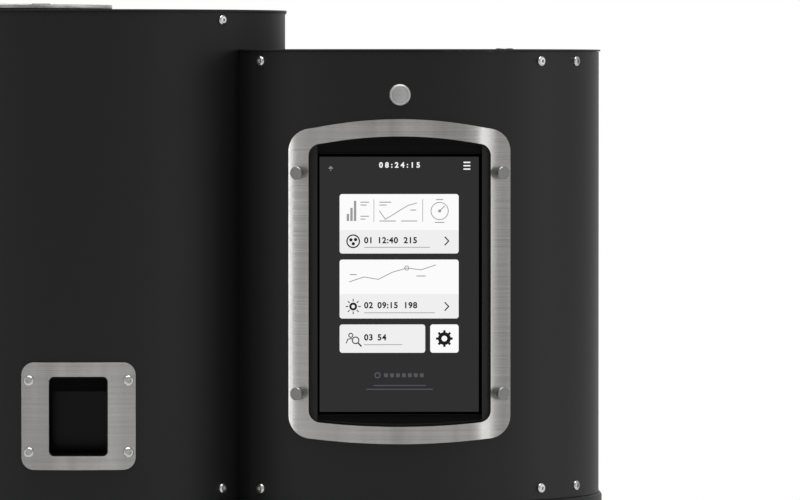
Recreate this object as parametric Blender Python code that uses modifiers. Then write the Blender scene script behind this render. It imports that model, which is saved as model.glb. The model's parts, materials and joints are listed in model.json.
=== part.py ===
"""A home coffee bean roaster: a tall drum tower and a lower control tower of bent sheet, on one base.

Metres, X to the right, Y to the back, Z up. Places are counted from the plane of the towers' round axes,
and an empty then sets the whole machine over the middle of its footprint.
"""

import math

import bmesh
import bpy
from mathutils import Matrix, Vector

# Driving sizes of the housing
LOBE_SPACING = 0.270
LOBE_RADIUS = 0.175
BODY_BACK = 0.230
REAR_CORNER = 0.040
SHEET = 0.0015
ROASTER_HEIGHT = 0.414
CONTROL_HEIGHT = 0.381
TOP_PLATE = 0.002
TOP_OVERHANG = 0.0013
BASE_TOP = 0.350
BASE_LEDGE = 0.0036
BASE_SHEET = 0.002
BASE_EDGE = 0.0025
FOOT_HEIGHT = 0.025
FOOT_RADIUS = 0.020
FOOT_INSET_X = 0.105
FOOT_FRONT_Y = -0.070
FOOT_BACK_INSET = 0.045
FLOOR_SHEET = 0.003

# Clearances
CLEAR = 0.0003
RUN = 0.0005
SLIDE_CLEAR = 0.0008
OVERRUN = 0.010
MERGE = 0.000001

# How finely round shapes are faceted
LOBE_STEPS = 40
ROUND_STEPS = 32
DRUM_STEPS = 48
SMALL_STEPS = 16
VENT_STEPS = 8
CORNER_STEPS = 4
SMOOTH_ANGLE = math.radians(30)

# Rear panel
PANEL_SHEET = 0.0015
PANEL_OPENING_HALF = 0.125
PANEL_LAP = 0.006
LOUVRE_COUNT = 5
LOUVRE_WIDTH = 0.120
LOUVRE_HEIGHT = 0.006
LOUVRE_PITCH = 0.016
LOUVRE_RISE = 0.060

# Window of the drum tower
WINDOW_RISE = 0.0725
WINDOW_WIDTH = 0.0492
WINDOW_HEIGHT = 0.0658
WINDOW_CORNER = 0.0043
FRAME_WIDTH = 0.0965
FRAME_HEIGHT = 0.0908
FRAME_CORNER = 0.0105
FRAME_SHEET = 0.0025
TUNNEL_SHEET = 0.0012
GLASS_SHEET = 0.004
TUNNEL_RIM_SHEET = 0.002
TUNNEL_RIM = 0.0022
LINTEL_HEIGHT = 0.0126

# Screen of the control tower
BEZEL_HALF_WIDTH = 0.0937
BEZEL_HEADROOM = 0.0591
BEZEL_BOTTOM_RISE = 0.0498
BEZEL_BAND = 0.0144
BEZEL_SIDE_BAND = 0.0172
BEZEL_SHEET = 0.003
BEZEL_CORNER = 0.019
BEZEL_INNER_CORNER = 0.010
ARC_HALF_WIDTH = 0.0756
TOP_ARC_FALL = 0.0082
BOTTOM_ARC_RISE = 0.0040
HOUSING_LAP = 0.0015
HOUSING_SET_BACK = 0.0185
HOUSING_DEPTH = 0.028
HOUSING_RIM = 0.0016
HOUSING_FLANGE = 0.0040
HOUSING_FLANGE_SET_BACK = 0.0217
HOUSING_FLANGE_SHEET = 0.002
SCREEN_SIDE_ROOM = 0.0245
SCREEN_HEADROOM = 0.02875
SCREEN_FOOTROOM = 0.02365
SCREEN_CORNER = 0.003
SCREEN_DEPTH = 0.008
SCREEN_PROUD = 0.001
BOARD_SIDE_INSET = 0.0142
BOARD_INSET = 0.02985
BOARD_SHEET = 0.0016
BOSS_RADIUS = 0.004
BOSS_LENGTH = 0.008

# Power button
BUTTON_DROP = 0.0387
BUTTON_RADIUS = 0.009
BUTTON_PROUD = 0.0018
BUTTON_FLANGE = 0.0015
BUTTON_BODY_RADIUS = 0.0078
BUTTON_CAP_RADIUS = 0.0065
BUTTON_LENGTH = 0.020
BUTTON_TRAVEL = 0.0015
BUTTON_DISH = 0.0006

# Plug of the control tower's top plate
PLUG_X_IN_LOBE = 0.093
PLUG_Y = -0.020
PLUG_RADIUS = 0.0075
PLUG_PROUD = 0.0012
PLUG_STEM_RADIUS = 0.005
PLUG_STEM = 0.006

# Bean inlet and its lid
INLET_X_IN_LOBE = -0.060
INLET_Y = -0.040
LID_RADIUS = 0.082
LID_SHEET = 0.0038
LID_GAP = 0.003
LID_EDGE = 0.0006
LID_TAB_WIDTH = 0.034
LID_TAB_REACH = 0.014
INLET_RADIUS = 0.062
GASKET_RADIUS = 0.076
GASKET_BORE = 0.064
HINGE_RADIUS = 0.003
HINGE_OFFSET = 0.008
HINGE_KNUCKLE = 0.030
HINGE_SIDE_KNUCKLE = 0.016
HINGE_LEAF_SHEET = 0.0014
HINGE_LEAF_REACH = 0.012
HINGE_PIN_RADIUS = 0.0013
FUNNEL_SHEET = 0.0015
FUNNEL_FLANGE = 0.008
THROAT_RADIUS = 0.025
THROAT_DEPTH = 0.105
THROAT_Y = -0.108
MOUTH_Y = -0.050
MOUTH_X_IN_LOBE = -0.042
MOUTH_RISE = 0.215

# Drum and what carries it
DRUM_RISE = 0.155
DRUM_RADIUS = 0.130
DRUM_SHEET = 0.0015
DRUM_FRONT_GAP = 0.003
DRUM_BACK_GAP = 0.006
FACE_Y = -0.075
FACE_SHEET = 0.004
FACE_HALF = 0.150
REAR_PLATE_Y = 0.118
REAR_PLATE_SHEET = 0.003
JACKET_RADIUS = 0.148
JACKET_SHEET = 0.0015
SHAFT_RADIUS = 0.008
SHAFT_FRONT = 0.022
HUB_RADIUS = 0.016
HUB_LENGTH = 0.030
BEARING_RADIUS = 0.024
BEARING_LENGTH = 0.016
BEARING_FLANGE = 0.003
BEARING_FLANGE_RADIUS = 0.032
VANE_COUNT = 4
VANE_HEIGHT = 0.026
VANE_SHEET = 0.0015
VANE_SWEEP = math.radians(55)
VANE_END_GAP = 0.006
VANE_STEPS = 8
ARM_WIDTH = 0.018
ARM_SHEET = 0.003
DRUM_VENT_COUNT = 8
DRUM_VENT_RADIUS = 0.009
DRUM_VENT_CIRCLE = 0.075

# Drum drive
PULLEY_RADIUS = 0.058
PULLEY_WIDTH = 0.014
PULLEY_RIM = 0.005
PULLEY_WEB = 0.004
PULLEY_Y_GAP = 0.020
MOTOR_PULLEY_RADIUS = 0.016
BELT_SHEET = 0.003
BELT_WIDTH = 0.010
BELT_STEPS = 20
MOTOR_X_IN_LOBE = 0.100
MOTOR_RISE = 0.058
MOTOR_RADIUS = 0.028
MOTOR_LENGTH = 0.060
MOTOR_SHAFT_RADIUS = 0.004
MOTOR_PLATE_SHEET = 0.003
MOTOR_PLATE_HALF = 0.036
MOTOR_FOOT = 0.040
MOTOR_PLATE_GAP = 0.004

# Heating element
HEATER_RADIUS = 0.1385
HEATER_ROD = 0.0035
HEATER_SPREAD = math.radians(18)
HEATER_RUNS = 4
HEATER_FRONT_INSET = 0.022
HEATER_BACK_INSET = 0.020
HEATER_TAIL = 0.012
HEATER_TURN_STEPS = 6

# Bean discharge
DISCHARGE_X_IN_LOBE = 0.060
DISCHARGE_HALF = 0.019
DISCHARGE_LOW = 0.056
DISCHARGE_HIGH = 0.090
FLAP_LAP = 0.002
FLAP_SHEET = 0.002
FLAP_HINGE_RISE = 0.096
FLAP_BARREL = 0.003
FLAP_OPEN = math.radians(55)
CHUTE_HALF = 0.027
CHUTE_DEPTH = 0.054
CHUTE_SHEET = 0.0015
CHUTE_HIGH = 0.106
CHUTE_LOW = 0.297

# Cooling bay, tray and gate
BAY_HALF = 0.128
BAY_LOW = 0.186
BAY_HIGH = 0.327
BAY_BACK = 0.012
BAY_SHEET = 0.0015
TRAY_Y = -0.125
TRAY_RADIUS = 0.120
TRAY_SHEET = 0.0015
TRAY_HEIGHT = 0.097
TRAY_LIP = 0.004
TRAY_LIP_SHEET = 0.002
SCREEN_LEDGE_RISE = 0.036
SCREEN_LEDGE = 0.007
COOLING_SCREEN_SHEET = 0.0015
SLOT_ROWS = ((0.045, 8), (0.088, 14))
SLOT_LENGTH = 0.022
SLOT_WIDTH = 0.005
GATE_HALF = 0.020
GATE_LAP = 0.006
GATE_SHEET = 0.002
GATE_OPENING = 0.034
GATE_TRAVEL = 0.034
GATE_SILL = 0.0022
GUIDE_WIDTH = 0.003
GUIDE_REACH = 0.0045
KNOB_RADIUS = 0.008
KNOB_LENGTH = 0.018
KNOB_NECK = 0.0045
KNOB_NECK_LENGTH = 0.006
TONGUE_REACH = 0.012

# Stirrer
STIRRER_HUB_RADIUS = 0.011
STIRRER_HUB_HEIGHT = 0.024
STIRRER_ARMS = 3
STIRRER_REACH = 0.110
STIRRER_BLADE_HEIGHT = 0.012
STIRRER_BLADE_SHEET = 0.003
STIRRER_BLADE_TILT = math.radians(25)
STIRRER_RISE = 0.0035
STIRRER_SHAFT_RADIUS = 0.004
STIRRER_MOTOR_RADIUS = 0.016
STIRRER_MOTOR_HEIGHT = 0.024

# Cooling fan
FAN_Y = -0.068
FAN_HOLE = 0.038
FAN_DUCT_RADIUS = 0.0455
FAN_DUCT_SHEET = 0.002
FAN_DUCT_HEIGHT = 0.050
FAN_FLANGE_RADIUS = 0.058
FAN_FLANGE_SHEET = 0.0015
FAN_STRUTS = 3
FAN_STRUT_WIDTH = 0.006
FAN_STRUT_SHEET = 0.003
FAN_MOTOR_RADIUS = 0.016
FAN_MOTOR_HEIGHT = 0.012
FAN_HUB_RADIUS = 0.014
FAN_HUB_HEIGHT = 0.016
FAN_TIP_GAP = 0.002
FAN_BLADES = 7
FAN_BLADE_RISE = 0.012
FAN_BLADE_SWEEP = math.radians(34)
FAN_BLADE_SHEET = 0.0015
FAN_BLADE_STEPS = 3

# Chaff cyclone, exhaust duct and blower
CYCLONE_X_IN_LOBE = 0.020
CYCLONE_Y = 0.115
CYCLONE_RADIUS = 0.058
CYCLONE_SHEET = 0.0015
CYCLONE_HIGH = 0.300
CYCLONE_CONE_HIGH = 0.205
CYCLONE_CONE_LOW = 0.005
CYCLONE_OUTLET = 0.024
CYCLONE_TAIL = 0.050
DUCT_RADIUS = 0.022
DUCT_SHEET = 0.0015
DUCT_RISE = 0.250
DUCT_LEAD = 0.004
DUCT_TURN_STEPS = 6
BLOWER_HEIGHT = 0.044
BLOWER_SHEET = 0.0015
BLOWER_START_RADIUS = 0.050
BLOWER_END_RADIUS = 0.066
BLOWER_STEPS = 28
BLOWER_TONGUE = 0.025
BLOWER_EYE = 0.024
IMPELLER_RADIUS = 0.042
IMPELLER_INNER = 0.028
IMPELLER_HEIGHT = 0.032
IMPELLER_DISC = 0.002
IMPELLER_BLADES = 14
IMPELLER_BLADE_SHEET = 0.0012
IMPELLER_LEAN = math.radians(35)
IMPELLER_FLOOR_GAP = 0.006
BLOWER_SHAFT_RADIUS = 0.004
BLOWER_MOTOR_RADIUS = 0.022
BLOWER_MOTOR_HEIGHT = 0.026
COLLAR_RADIUS = 0.048
COLLAR_SHEET = 0.0015
COLLAR_LENGTH = 0.030
COLLAR_FLANGE = 0.010
COLLAR_FLANGE_SHEET = 0.002

# Chaff drawer
DRAWER_HALF = 0.075
DRAWER_LOW = 0.200
DRAWER_HEIGHT = 0.080
DRAWER_BACK = 0.150
DRAWER_SHEET = 0.0015
DRAWER_FRONT_HALF = 0.085
DRAWER_FRONT_LAP = 0.010
DRAWER_TRAVEL = 0.200
SHELF_SHEET = 0.002
SHELF_FRONT = -0.150
SHELF_HALF = 0.082
SHELF_GUIDE = 0.012
HANDLE_HALF = 0.055
HANDLE_ROD = 0.005
HANDLE_REACH = 0.030
HANDLE_BEND = 0.012

# Supply and mains inlet
SUPPLY_WIDTH = 0.100
SUPPLY_HEIGHT = 0.190
SUPPLY_DEPTH = 0.040
SUPPLY_Y = -0.060
SUPPLY_FOOT = 0.012
SUPPLY_FOOT_SHEET = 0.0015
SOCKET_X = 0.200
SOCKET_RISE = 0.070
SOCKET_WIDTH = 0.027
SOCKET_HEIGHT = 0.020
SOCKET_DEPTH = 0.026
SOCKET_FLANGE = 0.008
SOCKET_FLANGE_SHEET = 0.003
SOCKET_WALL = 0.002
SOCKET_RECESS = 0.016
VENT_COUNT = 6
VENT_WIDTH = 0.130
VENT_HEIGHT = 0.005
VENT_PITCH = 0.014
VENT_RISE = 0.060

# Places that follow from the sizes
ROASTER_X = -LOBE_SPACING / 2
CONTROL_X = LOBE_SPACING / 2
BASE_RADIUS = LOBE_RADIUS + BASE_LEDGE
DECK = BASE_TOP + CLEAR
DRUM_Z = BASE_TOP + DRUM_RISE
ROASTER_TOP = BASE_TOP + ROASTER_HEIGHT
CONTROL_TOP = BASE_TOP + CONTROL_HEIGHT
BUTTON_RISE = CONTROL_HEIGHT - BUTTON_DROP
HOUSING_FRONT = LOBE_RADIUS - HOUSING_SET_BACK
HOUSING_FLANGE_FRONT = LOBE_RADIUS - HOUSING_FLANGE_SET_BACK
BEZEL_TOP_RISE = CONTROL_HEIGHT - BEZEL_HEADROOM
SCREEN_WIDTH = 2 * (BEZEL_HALF_WIDTH - SCREEN_SIDE_ROOM)
SCREEN_HEIGHT = BEZEL_TOP_RISE - BEZEL_BOTTOM_RISE - SCREEN_HEADROOM - SCREEN_FOOTROOM
SCREEN_RISE = BEZEL_BOTTOM_RISE + SCREEN_FOOTROOM + SCREEN_HEIGHT / 2
BOARD_WIDTH = SCREEN_WIDTH - 2 * BOARD_SIDE_INSET
BOARD_HEIGHT = SCREEN_HEIGHT - 2 * BOARD_INSET
WINDOW_Z = BASE_TOP + WINDOW_RISE
TRAY_LOW = BAY_LOW + BAY_SHEET + CLEAR
TRAY_RIM = TRAY_LOW + TRAY_HEIGHT
LEDGE_TOP = TRAY_LOW + SCREEN_LEDGE_RISE
BEAN_FLOOR = LEDGE_TOP + CLEAR + COOLING_SCREEN_SHEET
INLET_X = ROASTER_X + INLET_X_IN_LOBE
CYCLONE_X = CONTROL_X + CYCLONE_X_IN_LOBE
CYCLONE_TOP = BASE_TOP + CYCLONE_HIGH
DUCT_Z = BASE_TOP + DUCT_RISE
DUCT_Y = CYCLONE_Y + CYCLONE_RADIUS - CYCLONE_SHEET - DUCT_RADIUS
PULLEY_Y = REAR_PLATE_Y + REAR_PLATE_SHEET + PULLEY_Y_GAP
MOTOR_X = ROASTER_X + MOTOR_X_IN_LOBE
MOTOR_Z = BASE_TOP + MOTOR_RISE
FACE_FRONT = FACE_Y - FACE_SHEET
BLOWER_LOW = CYCLONE_TOP + CLEAR
BLOWER_HIGH = BLOWER_LOW + BLOWER_HEIGHT
COLLAR_X = CYCLONE_X + (BLOWER_TONGUE + BLOWER_END_RADIUS) / 2
SOCKET_Z = FOOT_HEIGHT + SOCKET_RISE
DRAWER_FRONT_LOW = DRAWER_LOW - DRAWER_FRONT_LAP
DRAWER_FRONT_HIGH = DRAWER_LOW + DRAWER_HEIGHT + DRAWER_FRONT_LAP
COLLAR_Z = (BLOWER_LOW + BLOWER_HIGH) / 2
PANEL_BACK = BODY_BACK + CLEAR + PANEL_SHEET
FRONT_REACH = -TRAY_Y + TRAY_RADIUS + RUN + GATE_SHEET + KNOB_LENGTH
BACK_REACH = PANEL_BACK + CLEAR + COLLAR_FLANGE_SHEET + COLLAR_LENGTH
MACHINE_Y = (FRONT_REACH - BACK_REACH) / 2

# Turns that lay a flat or turned piece in its plane or along its axis
UPRIGHT = Matrix.Rotation(math.pi / 2, 4, "X")
ALONG_Y = Matrix.Rotation(-math.pi / 2, 4, "X")
ALONG_X = Matrix.Rotation(math.pi / 2, 4, "Y")

FINISHES = {
    "powder_coat": ((0.018, 0.018, 0.019), 0.0, 0.55),
    "brushed_stainless": ((0.52, 0.51, 0.50), 1.0, 0.35),
    "drum_steel": ((0.36, 0.35, 0.34), 1.0, 0.45),
    "zinc_steel": ((0.48, 0.49, 0.50), 1.0, 0.50),
    "black_glass": ((0.006, 0.006, 0.007), 0.0, 0.06),
    "sight_glass": ((0.25, 0.25, 0.25), 0.0, 0.05),
    "moulded_black": ((0.015, 0.015, 0.016), 0.0, 0.60),
    "rubber": ((0.012, 0.012, 0.012), 0.0, 0.85),
    "silicone": ((0.020, 0.018, 0.018), 0.0, 0.75),
    "cast_aluminium": ((0.55, 0.55, 0.56), 1.0, 0.50),
    "circuit_board": ((0.015, 0.090, 0.045), 0.0, 0.50),
    "motor_black": ((0.030, 0.030, 0.032), 0.4, 0.45),
    "heater_sheath": ((0.160, 0.120, 0.100), 0.9, 0.55),
}


def clear_scene():
    for obj in list(bpy.data.objects):
        bpy.data.objects.remove(obj, do_unlink=True)
    for name in ("coffee_bean_roaster", "cutters"):
        bpy.context.scene.collection.children.link(bpy.data.collections.new(name))


def finish_of(name, finish):
    """A material of the piece's own, in the colour and gloss of its finish."""
    colour, metallic, roughness = FINISHES[finish]
    made = bpy.data.materials.new(f"{name}_{finish}")
    made.use_nodes = True
    shader = made.node_tree.nodes["Principled BSDF"]
    shader.inputs["Base Color"].default_value = (*colour, 1)
    shader.inputs["Metallic"].default_value = metallic
    shader.inputs["Roughness"].default_value = roughness
    made.diffuse_color = (*colour, 1)
    return made


def empty(name, place, parent=None):
    made = bpy.data.objects.new(name, None)
    made.location = place
    made.parent = parent
    bpy.data.collections["coffee_bean_roaster"].objects.link(made)
    return made


def add(name, mesh, finish):
    """An object of this mesh: a piece where it has a finish, and a cutter where it has none."""
    obj = bpy.data.objects.new(name, mesh)
    obj.parent = bpy.data.objects["machine"]
    if finish:
        mesh.materials.clear()
        mesh.materials.append(finish_of(name, finish))
        bpy.data.collections["coffee_bean_roaster"].objects.link(obj)
    else:
        obj.hide_render = True
        obj.display_type = "WIRE"
        bpy.data.collections["cutters"].objects.link(obj)
    return obj


def pivot(obj, joint, place):
    """Hangs a moving piece from the empty that stands on its joint's axis."""
    turner = bpy.data.objects.get(joint) or empty(joint, place, bpy.data.objects["machine"])
    obj.parent = turner
    obj.matrix_parent_inverse = Matrix.Translation(place).inverted()


def cleaned(mesh):
    """Doubles merged, and faces turned outwards."""
    work = bmesh.new()
    work.from_mesh(mesh)
    bmesh.ops.remove_doubles(work, verts=work.verts, dist=MERGE)
    bmesh.ops.recalc_face_normals(work, faces=work.faces)
    work.to_mesh(mesh)
    work.free()
    mesh.shade_smooth()
    mesh.set_sharp_from_angle(angle=SMOOTH_ANGLE)
    return mesh


def realised(obj, name, finish):
    """The object's evaluated shape as a plain mesh object, in place of the object."""
    bpy.context.view_layer.update()
    graph = bpy.context.evaluated_depsgraph_get()
    mesh = cleaned(bpy.data.meshes.new_from_object(obj.evaluated_get(graph)))
    bpy.data.objects.remove(obj, do_unlink=True)
    return add(name, mesh, finish)


def draft(name, data):
    obj = bpy.data.objects.new(name + "_draft", data)
    bpy.context.scene.collection.objects.link(obj)
    return obj


def flat(name, outline, thickness, turn, place, finish=None, holes=()):
    """A flat outline with holes, given its thickness about its own plane, then turned and placed."""
    curve = bpy.data.curves.new(name, "CURVE")
    curve.dimensions = "2D"
    curve.fill_mode = "BOTH"
    curve.extrude = thickness / 2
    for points in (outline, *holes):
        spline = curve.splines.new("POLY")
        spline.points.add(len(points) - 1)
        for point, (x, y) in zip(spline.points, points):
            point.co = (x, y, 0, 1)
        spline.use_cyclic_u = True
    obj = realised(draft(name, curve), name, finish)
    obj.data.transform(Matrix.Translation(place) @ turn)
    return obj


def slab(name, outline, low, high, finish=None, holes=()):
    """A plan outline that stands between two heights."""
    return flat(name, outline, high - low, Matrix(), (0, 0, (low + high) / 2), finish, holes)


def box(name, low, high, finish=None):
    work = bmesh.new()
    bmesh.ops.create_cube(work, size=1)
    low, high = Vector(low), Vector(high)
    size = high - low
    bmesh.ops.scale(work, vec=size, verts=work.verts)
    bmesh.ops.translate(work, vec=(low + high) / 2, verts=work.verts)
    mesh = bpy.data.meshes.new(name)
    work.to_mesh(mesh)
    work.free()
    return add(name, mesh, finish)


def rod(name, place, radius, length, turn=Matrix(), finish=None, steps=SMALL_STEPS):
    """A round bar that starts at a place and runs along its turned Z axis."""
    work = bmesh.new()
    bmesh.ops.create_cone(work, cap_ends=True, segments=steps, radius1=radius, radius2=radius, depth=length)
    bmesh.ops.translate(work, vec=(0, 0, length / 2), verts=work.verts)
    work.transform(Matrix.Translation(place) @ turn)
    mesh = bpy.data.meshes.new(name)
    work.to_mesh(mesh)
    work.free()
    return add(name, cleaned(mesh), finish)


def turned(name, profile, place, turn=Matrix(), finish=None, steps=ROUND_STEPS):
    """A profile of (radius, height) points turned about Z, closed unless both its ends lie on the axis."""
    mesh = bpy.data.meshes.new(name)
    points = [(radius, 0, height) for radius, height in profile]
    edges = [(i, i + 1) for i in range(len(points) - 1)]
    if profile[0][0] > 0 or profile[-1][0] > 0:
        edges.append((len(points) - 1, 0))
    mesh.from_pydata(points, edges, [])
    obj = draft(name, mesh)
    screw = obj.modifiers.new("turn", "SCREW")
    screw.steps = screw.render_steps = steps
    screw.use_merge_vertices = True
    screw.merge_threshold = MERGE
    obj = realised(obj, name, finish)
    obj.data.transform(Matrix.Translation(place) @ turn)
    return obj


def tube(name, points, radius, finish=None, resolution=2):
    """A round bar bent along the points, with closed ends."""
    curve = bpy.data.curves.new(name, "CURVE")
    curve.dimensions = "3D"
    curve.bevel_depth = radius
    curve.bevel_resolution = resolution
    curve.use_fill_caps = True
    spline = curve.splines.new("POLY")
    spline.points.add(len(points) - 1)
    for point, place in zip(spline.points, points):
        point.co = (*place, 1)
    return realised(draft(name, curve), name, finish)


def helicoid(name, inner, outer, rise, sweep, sheet, steps, turn, place, finish=None):
    """A blade: a radial edge that turns as it climbs, given its sheet thickness."""
    mesh = bpy.data.meshes.new(name)
    mesh.from_pydata([(inner, 0, 0), (outer, 0, 0)], [(0, 1)], [])
    obj = draft(name, mesh)
    screw = obj.modifiers.new("climb", "SCREW")
    screw.angle = sweep
    screw.screw_offset = rise
    screw.steps = screw.render_steps = steps
    wall = obj.modifiers.new("sheet", "SOLIDIFY")
    wall.thickness = sheet
    wall.offset = 0
    obj = realised(obj, name, finish)
    obj.data.transform(Matrix.Translation(place) @ turn)
    return obj


def combine(obj, operation, others):
    for other in others:
        step = obj.modifiers.new(other.name, "BOOLEAN")
        step.operation = operation
        step.object = other
        step.solver = "EXACT"
    return obj


def cut(obj, *cutters):
    return combine(obj, "DIFFERENCE", cutters)


def join(obj, *others):
    return combine(obj, "UNION", others)


def keep_inside(obj, *limits):
    return combine(obj, "INTERSECT", limits)


def arc(centre, radius, start, end, steps):
    """Points on an arc, its angles in degrees from +X towards +Y."""
    turns = [math.radians(start + (end - start) * i / steps) for i in range(steps + 1)]
    return [(centre[0] + radius * math.cos(a), centre[1] + radius * math.sin(a)) for a in turns]


def circle(centre, radius, steps=ROUND_STEPS):
    return arc(centre, radius, 0, 360, steps)[:-1]


def rounded(centre, width, height, corner, steps=CORNER_STEPS):
    """A rectangle with rounded corners."""
    points = []
    for quarter, (sx, sy) in enumerate(((1, 1), (-1, 1), (-1, -1), (1, -1))):
        middle = (centre[0] + sx * (width / 2 - corner), centre[1] + sy * (height / 2 - corner))
        points += arc(middle, corner, 90 * quarter, 90 * quarter + 90, steps)
    return points


def rectangle(low_x, low_y, high_x, high_y):
    return [(low_x, low_y), (high_x, low_y), (high_x, high_y), (low_x, high_y)]


def rear_corner(x, side, grow, start, end):
    middle = (x + side * (LOBE_RADIUS - REAR_CORNER), BODY_BACK - REAR_CORNER)
    return arc(middle, REAR_CORNER + grow, start, end, CORNER_STEPS)


def tower_outline(x, grow=0.0):
    """A tower in plan: a half round front, straight sides and a flat back with rounded corners."""
    points = arc((x, 0), LOBE_RADIUS + grow, 180, 360, LOBE_STEPS)
    return points + rear_corner(x, 1, grow, 0, 90) + rear_corner(x, -1, grow, 90, 180)


def valley_turn(radius):
    """The angle, from the line through both lobes, at which two lobes of this radius meet."""
    return math.degrees(math.acos(LOBE_SPACING / 2 / radius))


def tower_wall(x, sheet, left_side=True):
    """The bent sheet of a tower in plan, with a flange at each side of its open back."""
    last = 180 if left_side else 180 + valley_turn(LOBE_RADIUS) / 2

    def side(grow):
        points = [(x + PANEL_OPENING_HALF, BODY_BACK + grow)] + rear_corner(x, 1, grow, 90, 0)
        points += arc((x, 0), LOBE_RADIUS + grow, 360, last, LOBE_STEPS)
        if left_side:
            points += rear_corner(x, -1, grow, 180, 90) + [(x - PANEL_OPENING_HALF, BODY_BACK + grow)]
        return points

    return side(0) + side(-sheet)[::-1]


def base_outline(grow=0.0):
    """Both towers' outline as one, a ledge wider all round."""
    radius = BASE_RADIUS + grow
    valley = valley_turn(radius)
    left = arc((ROASTER_X, 0), radius, 180, 360 - valley, LOBE_STEPS)
    right = arc((CONTROL_X, 0), radius, 180 + valley, 360, LOBE_STEPS)
    grown = BASE_LEDGE + grow
    back = rear_corner(CONTROL_X, 1, grown, 0, 90) + rear_corner(ROASTER_X, -1, grown, 90, 180)
    return left + right[1:] + back


def upright_cutter(name, x, outline, low_y, high_y):
    """A front-view outline, drawn about a tower's axis, that runs from one depth to another."""
    return flat(name, outline, high_y - low_y, UPRIGHT, (x, (low_y + high_y) / 2, 0))


def front_band(name, x, inner, sheet, low, high, finish=None):
    """A ring round a lobe, which an outline then cuts to a plate that is bent to the lobe."""
    profile = ((inner + sheet, high), (inner + sheet, low), (inner, low), (inner, high))
    return turned(name, profile, (x, 0, 0), finish=finish, steps=LOBE_STEPS * 2)


def arched(grow, corner):
    """The screen bezel's outline in front view: upright sides, and an arched top and bottom."""
    half = BEZEL_HALF_WIDTH + grow[0]
    top, bottom = BEZEL_TOP_RISE + grow[1], BEZEL_BOTTOM_RISE - grow[1]
    top_radius = (ARC_HALF_WIDTH**2 + TOP_ARC_FALL**2) / 2 / TOP_ARC_FALL + grow[1]
    bottom_radius = (ARC_HALF_WIDTH**2 + BOTTOM_ARC_RISE**2) / 2 / BOTTOM_ARC_RISE + grow[1]
    corner_half = half - corner

    def edge(radius, level, side, across):
        """A point of the top or bottom arc, at its distance across."""
        return (across, BASE_TOP + level - side * (radius - math.sqrt(radius**2 - across**2)))

    points = []
    for side, level, radius in ((1, top, top_radius), (-1, bottom, bottom_radius)):
        sweep = [corner_half * (1 - 2 * i / CORNER_STEPS) * side for i in range(CORNER_STEPS + 1)]
        run = [edge(radius, level, side, across) for across in sweep]
        first, last = (0, 90) if side > 0 else (180, 270)
        lean = math.degrees(math.asin(corner_half / radius))
        near = arc((run[0][0], run[0][1] - side * corner), corner, first, last - lean, CORNER_STEPS)
        far = arc((run[-1][0], run[-1][1] - side * corner), corner, last + lean, last + 90, CORNER_STEPS)
        points += near + run[1:-1] + far
    return points


def build_base():
    x_half = LOBE_SPACING / 2 + LOBE_RADIUS
    shell = slab("base_shell", base_outline(), FOOT_HEIGHT, BASE_TOP, "powder_coat")
    work = bmesh.new()
    work.from_mesh(shell.data)
    level = [e for e in work.edges if e.is_manifold and e.verts[0].co.z == e.verts[1].co.z]
    inner = [e for e in level if e.calc_face_angle() < SMOOTH_ANGLE / CORNER_STEPS / 2]
    bmesh.ops.dissolve_edges(work, edges=inner, use_verts=False)
    top_level = max(v.co.z for v in work.verts) - MERGE
    rim = [e for e in work.edges if min(v.co.z for v in e.verts) > top_level]
    bmesh.ops.bevel(work, geom=rim, offset=BASE_EDGE, segments=3, profile=1 / 2, affect="EDGES")
    work.to_mesh(shell.data)
    work.free()
    cleaned(shell.data)
    deck_low = BASE_TOP - BASE_SHEET
    cut(
        shell,
        slab("base_hollow", base_outline(-BASE_SHEET), FOOT_HEIGHT - OVERRUN, deck_low),
        box(
            "bay_opening",
            (ROASTER_X - BAY_HALF - CLEAR, -BASE_RADIUS - OVERRUN, BAY_LOW - CLEAR),
            (ROASTER_X + BAY_HALF + CLEAR, 0, BAY_HIGH + CLEAR),
        ),
        box(
            "drawer_opening",
            (CONTROL_X - DRAWER_FRONT_HALF - RUN, -BASE_RADIUS - OVERRUN, DRAWER_FRONT_LOW - RUN),
            (CONTROL_X + DRAWER_FRONT_HALF + RUN, 0, DRAWER_FRONT_HIGH + RUN),
        ),
        chute_cutter("deck_chute_opening", deck_low - OVERRUN, BASE_TOP + OVERRUN),
        rod("deck_chaff_hole", (CYCLONE_X, CYCLONE_Y, deck_low - OVERRUN), CYCLONE_OUTLET + RUN, OVERRUN * 3),
        box(
            "socket_opening",
            (SOCKET_X - SOCKET_WIDTH / 2 - CLEAR, BODY_BACK - OVERRUN, SOCKET_Z - SOCKET_HEIGHT / 2 - CLEAR),
            (SOCKET_X + SOCKET_WIDTH / 2 + CLEAR, BODY_BACK + OVERRUN, SOCKET_Z + SOCKET_HEIGHT / 2 + CLEAR),
        ),
        *slots("base_vent", ROASTER_X, FOOT_HEIGHT + VENT_RISE, VENT_COUNT, VENT_PITCH, VENT_WIDTH, VENT_HEIGHT),
    )
    floor = base_outline(-BASE_SHEET - CLEAR)
    slab("base_floor", floor, FOOT_HEIGHT, FOOT_HEIGHT + FLOOR_SHEET, "zinc_steel")
    feet = [(sx, y) for y in (FOOT_FRONT_Y, BODY_BACK - FOOT_BACK_INSET) for sx in (-1, 1)]
    edge = FOOT_RADIUS / 5
    profile = (
        (0, FOOT_HEIGHT - CLEAR),
        (FOOT_RADIUS, FOOT_HEIGHT - CLEAR),
        (FOOT_RADIUS - edge / 2, edge),
        (FOOT_RADIUS - edge, 0),
        (0, 0),
    )
    for number, (sx, y) in enumerate(feet, 1):
        place = (sx * (x_half - FOOT_INSET_X), y, 0)
        turned(f"foot_{number}", profile, place, finish="rubber", steps=SMALL_STEPS)


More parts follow.
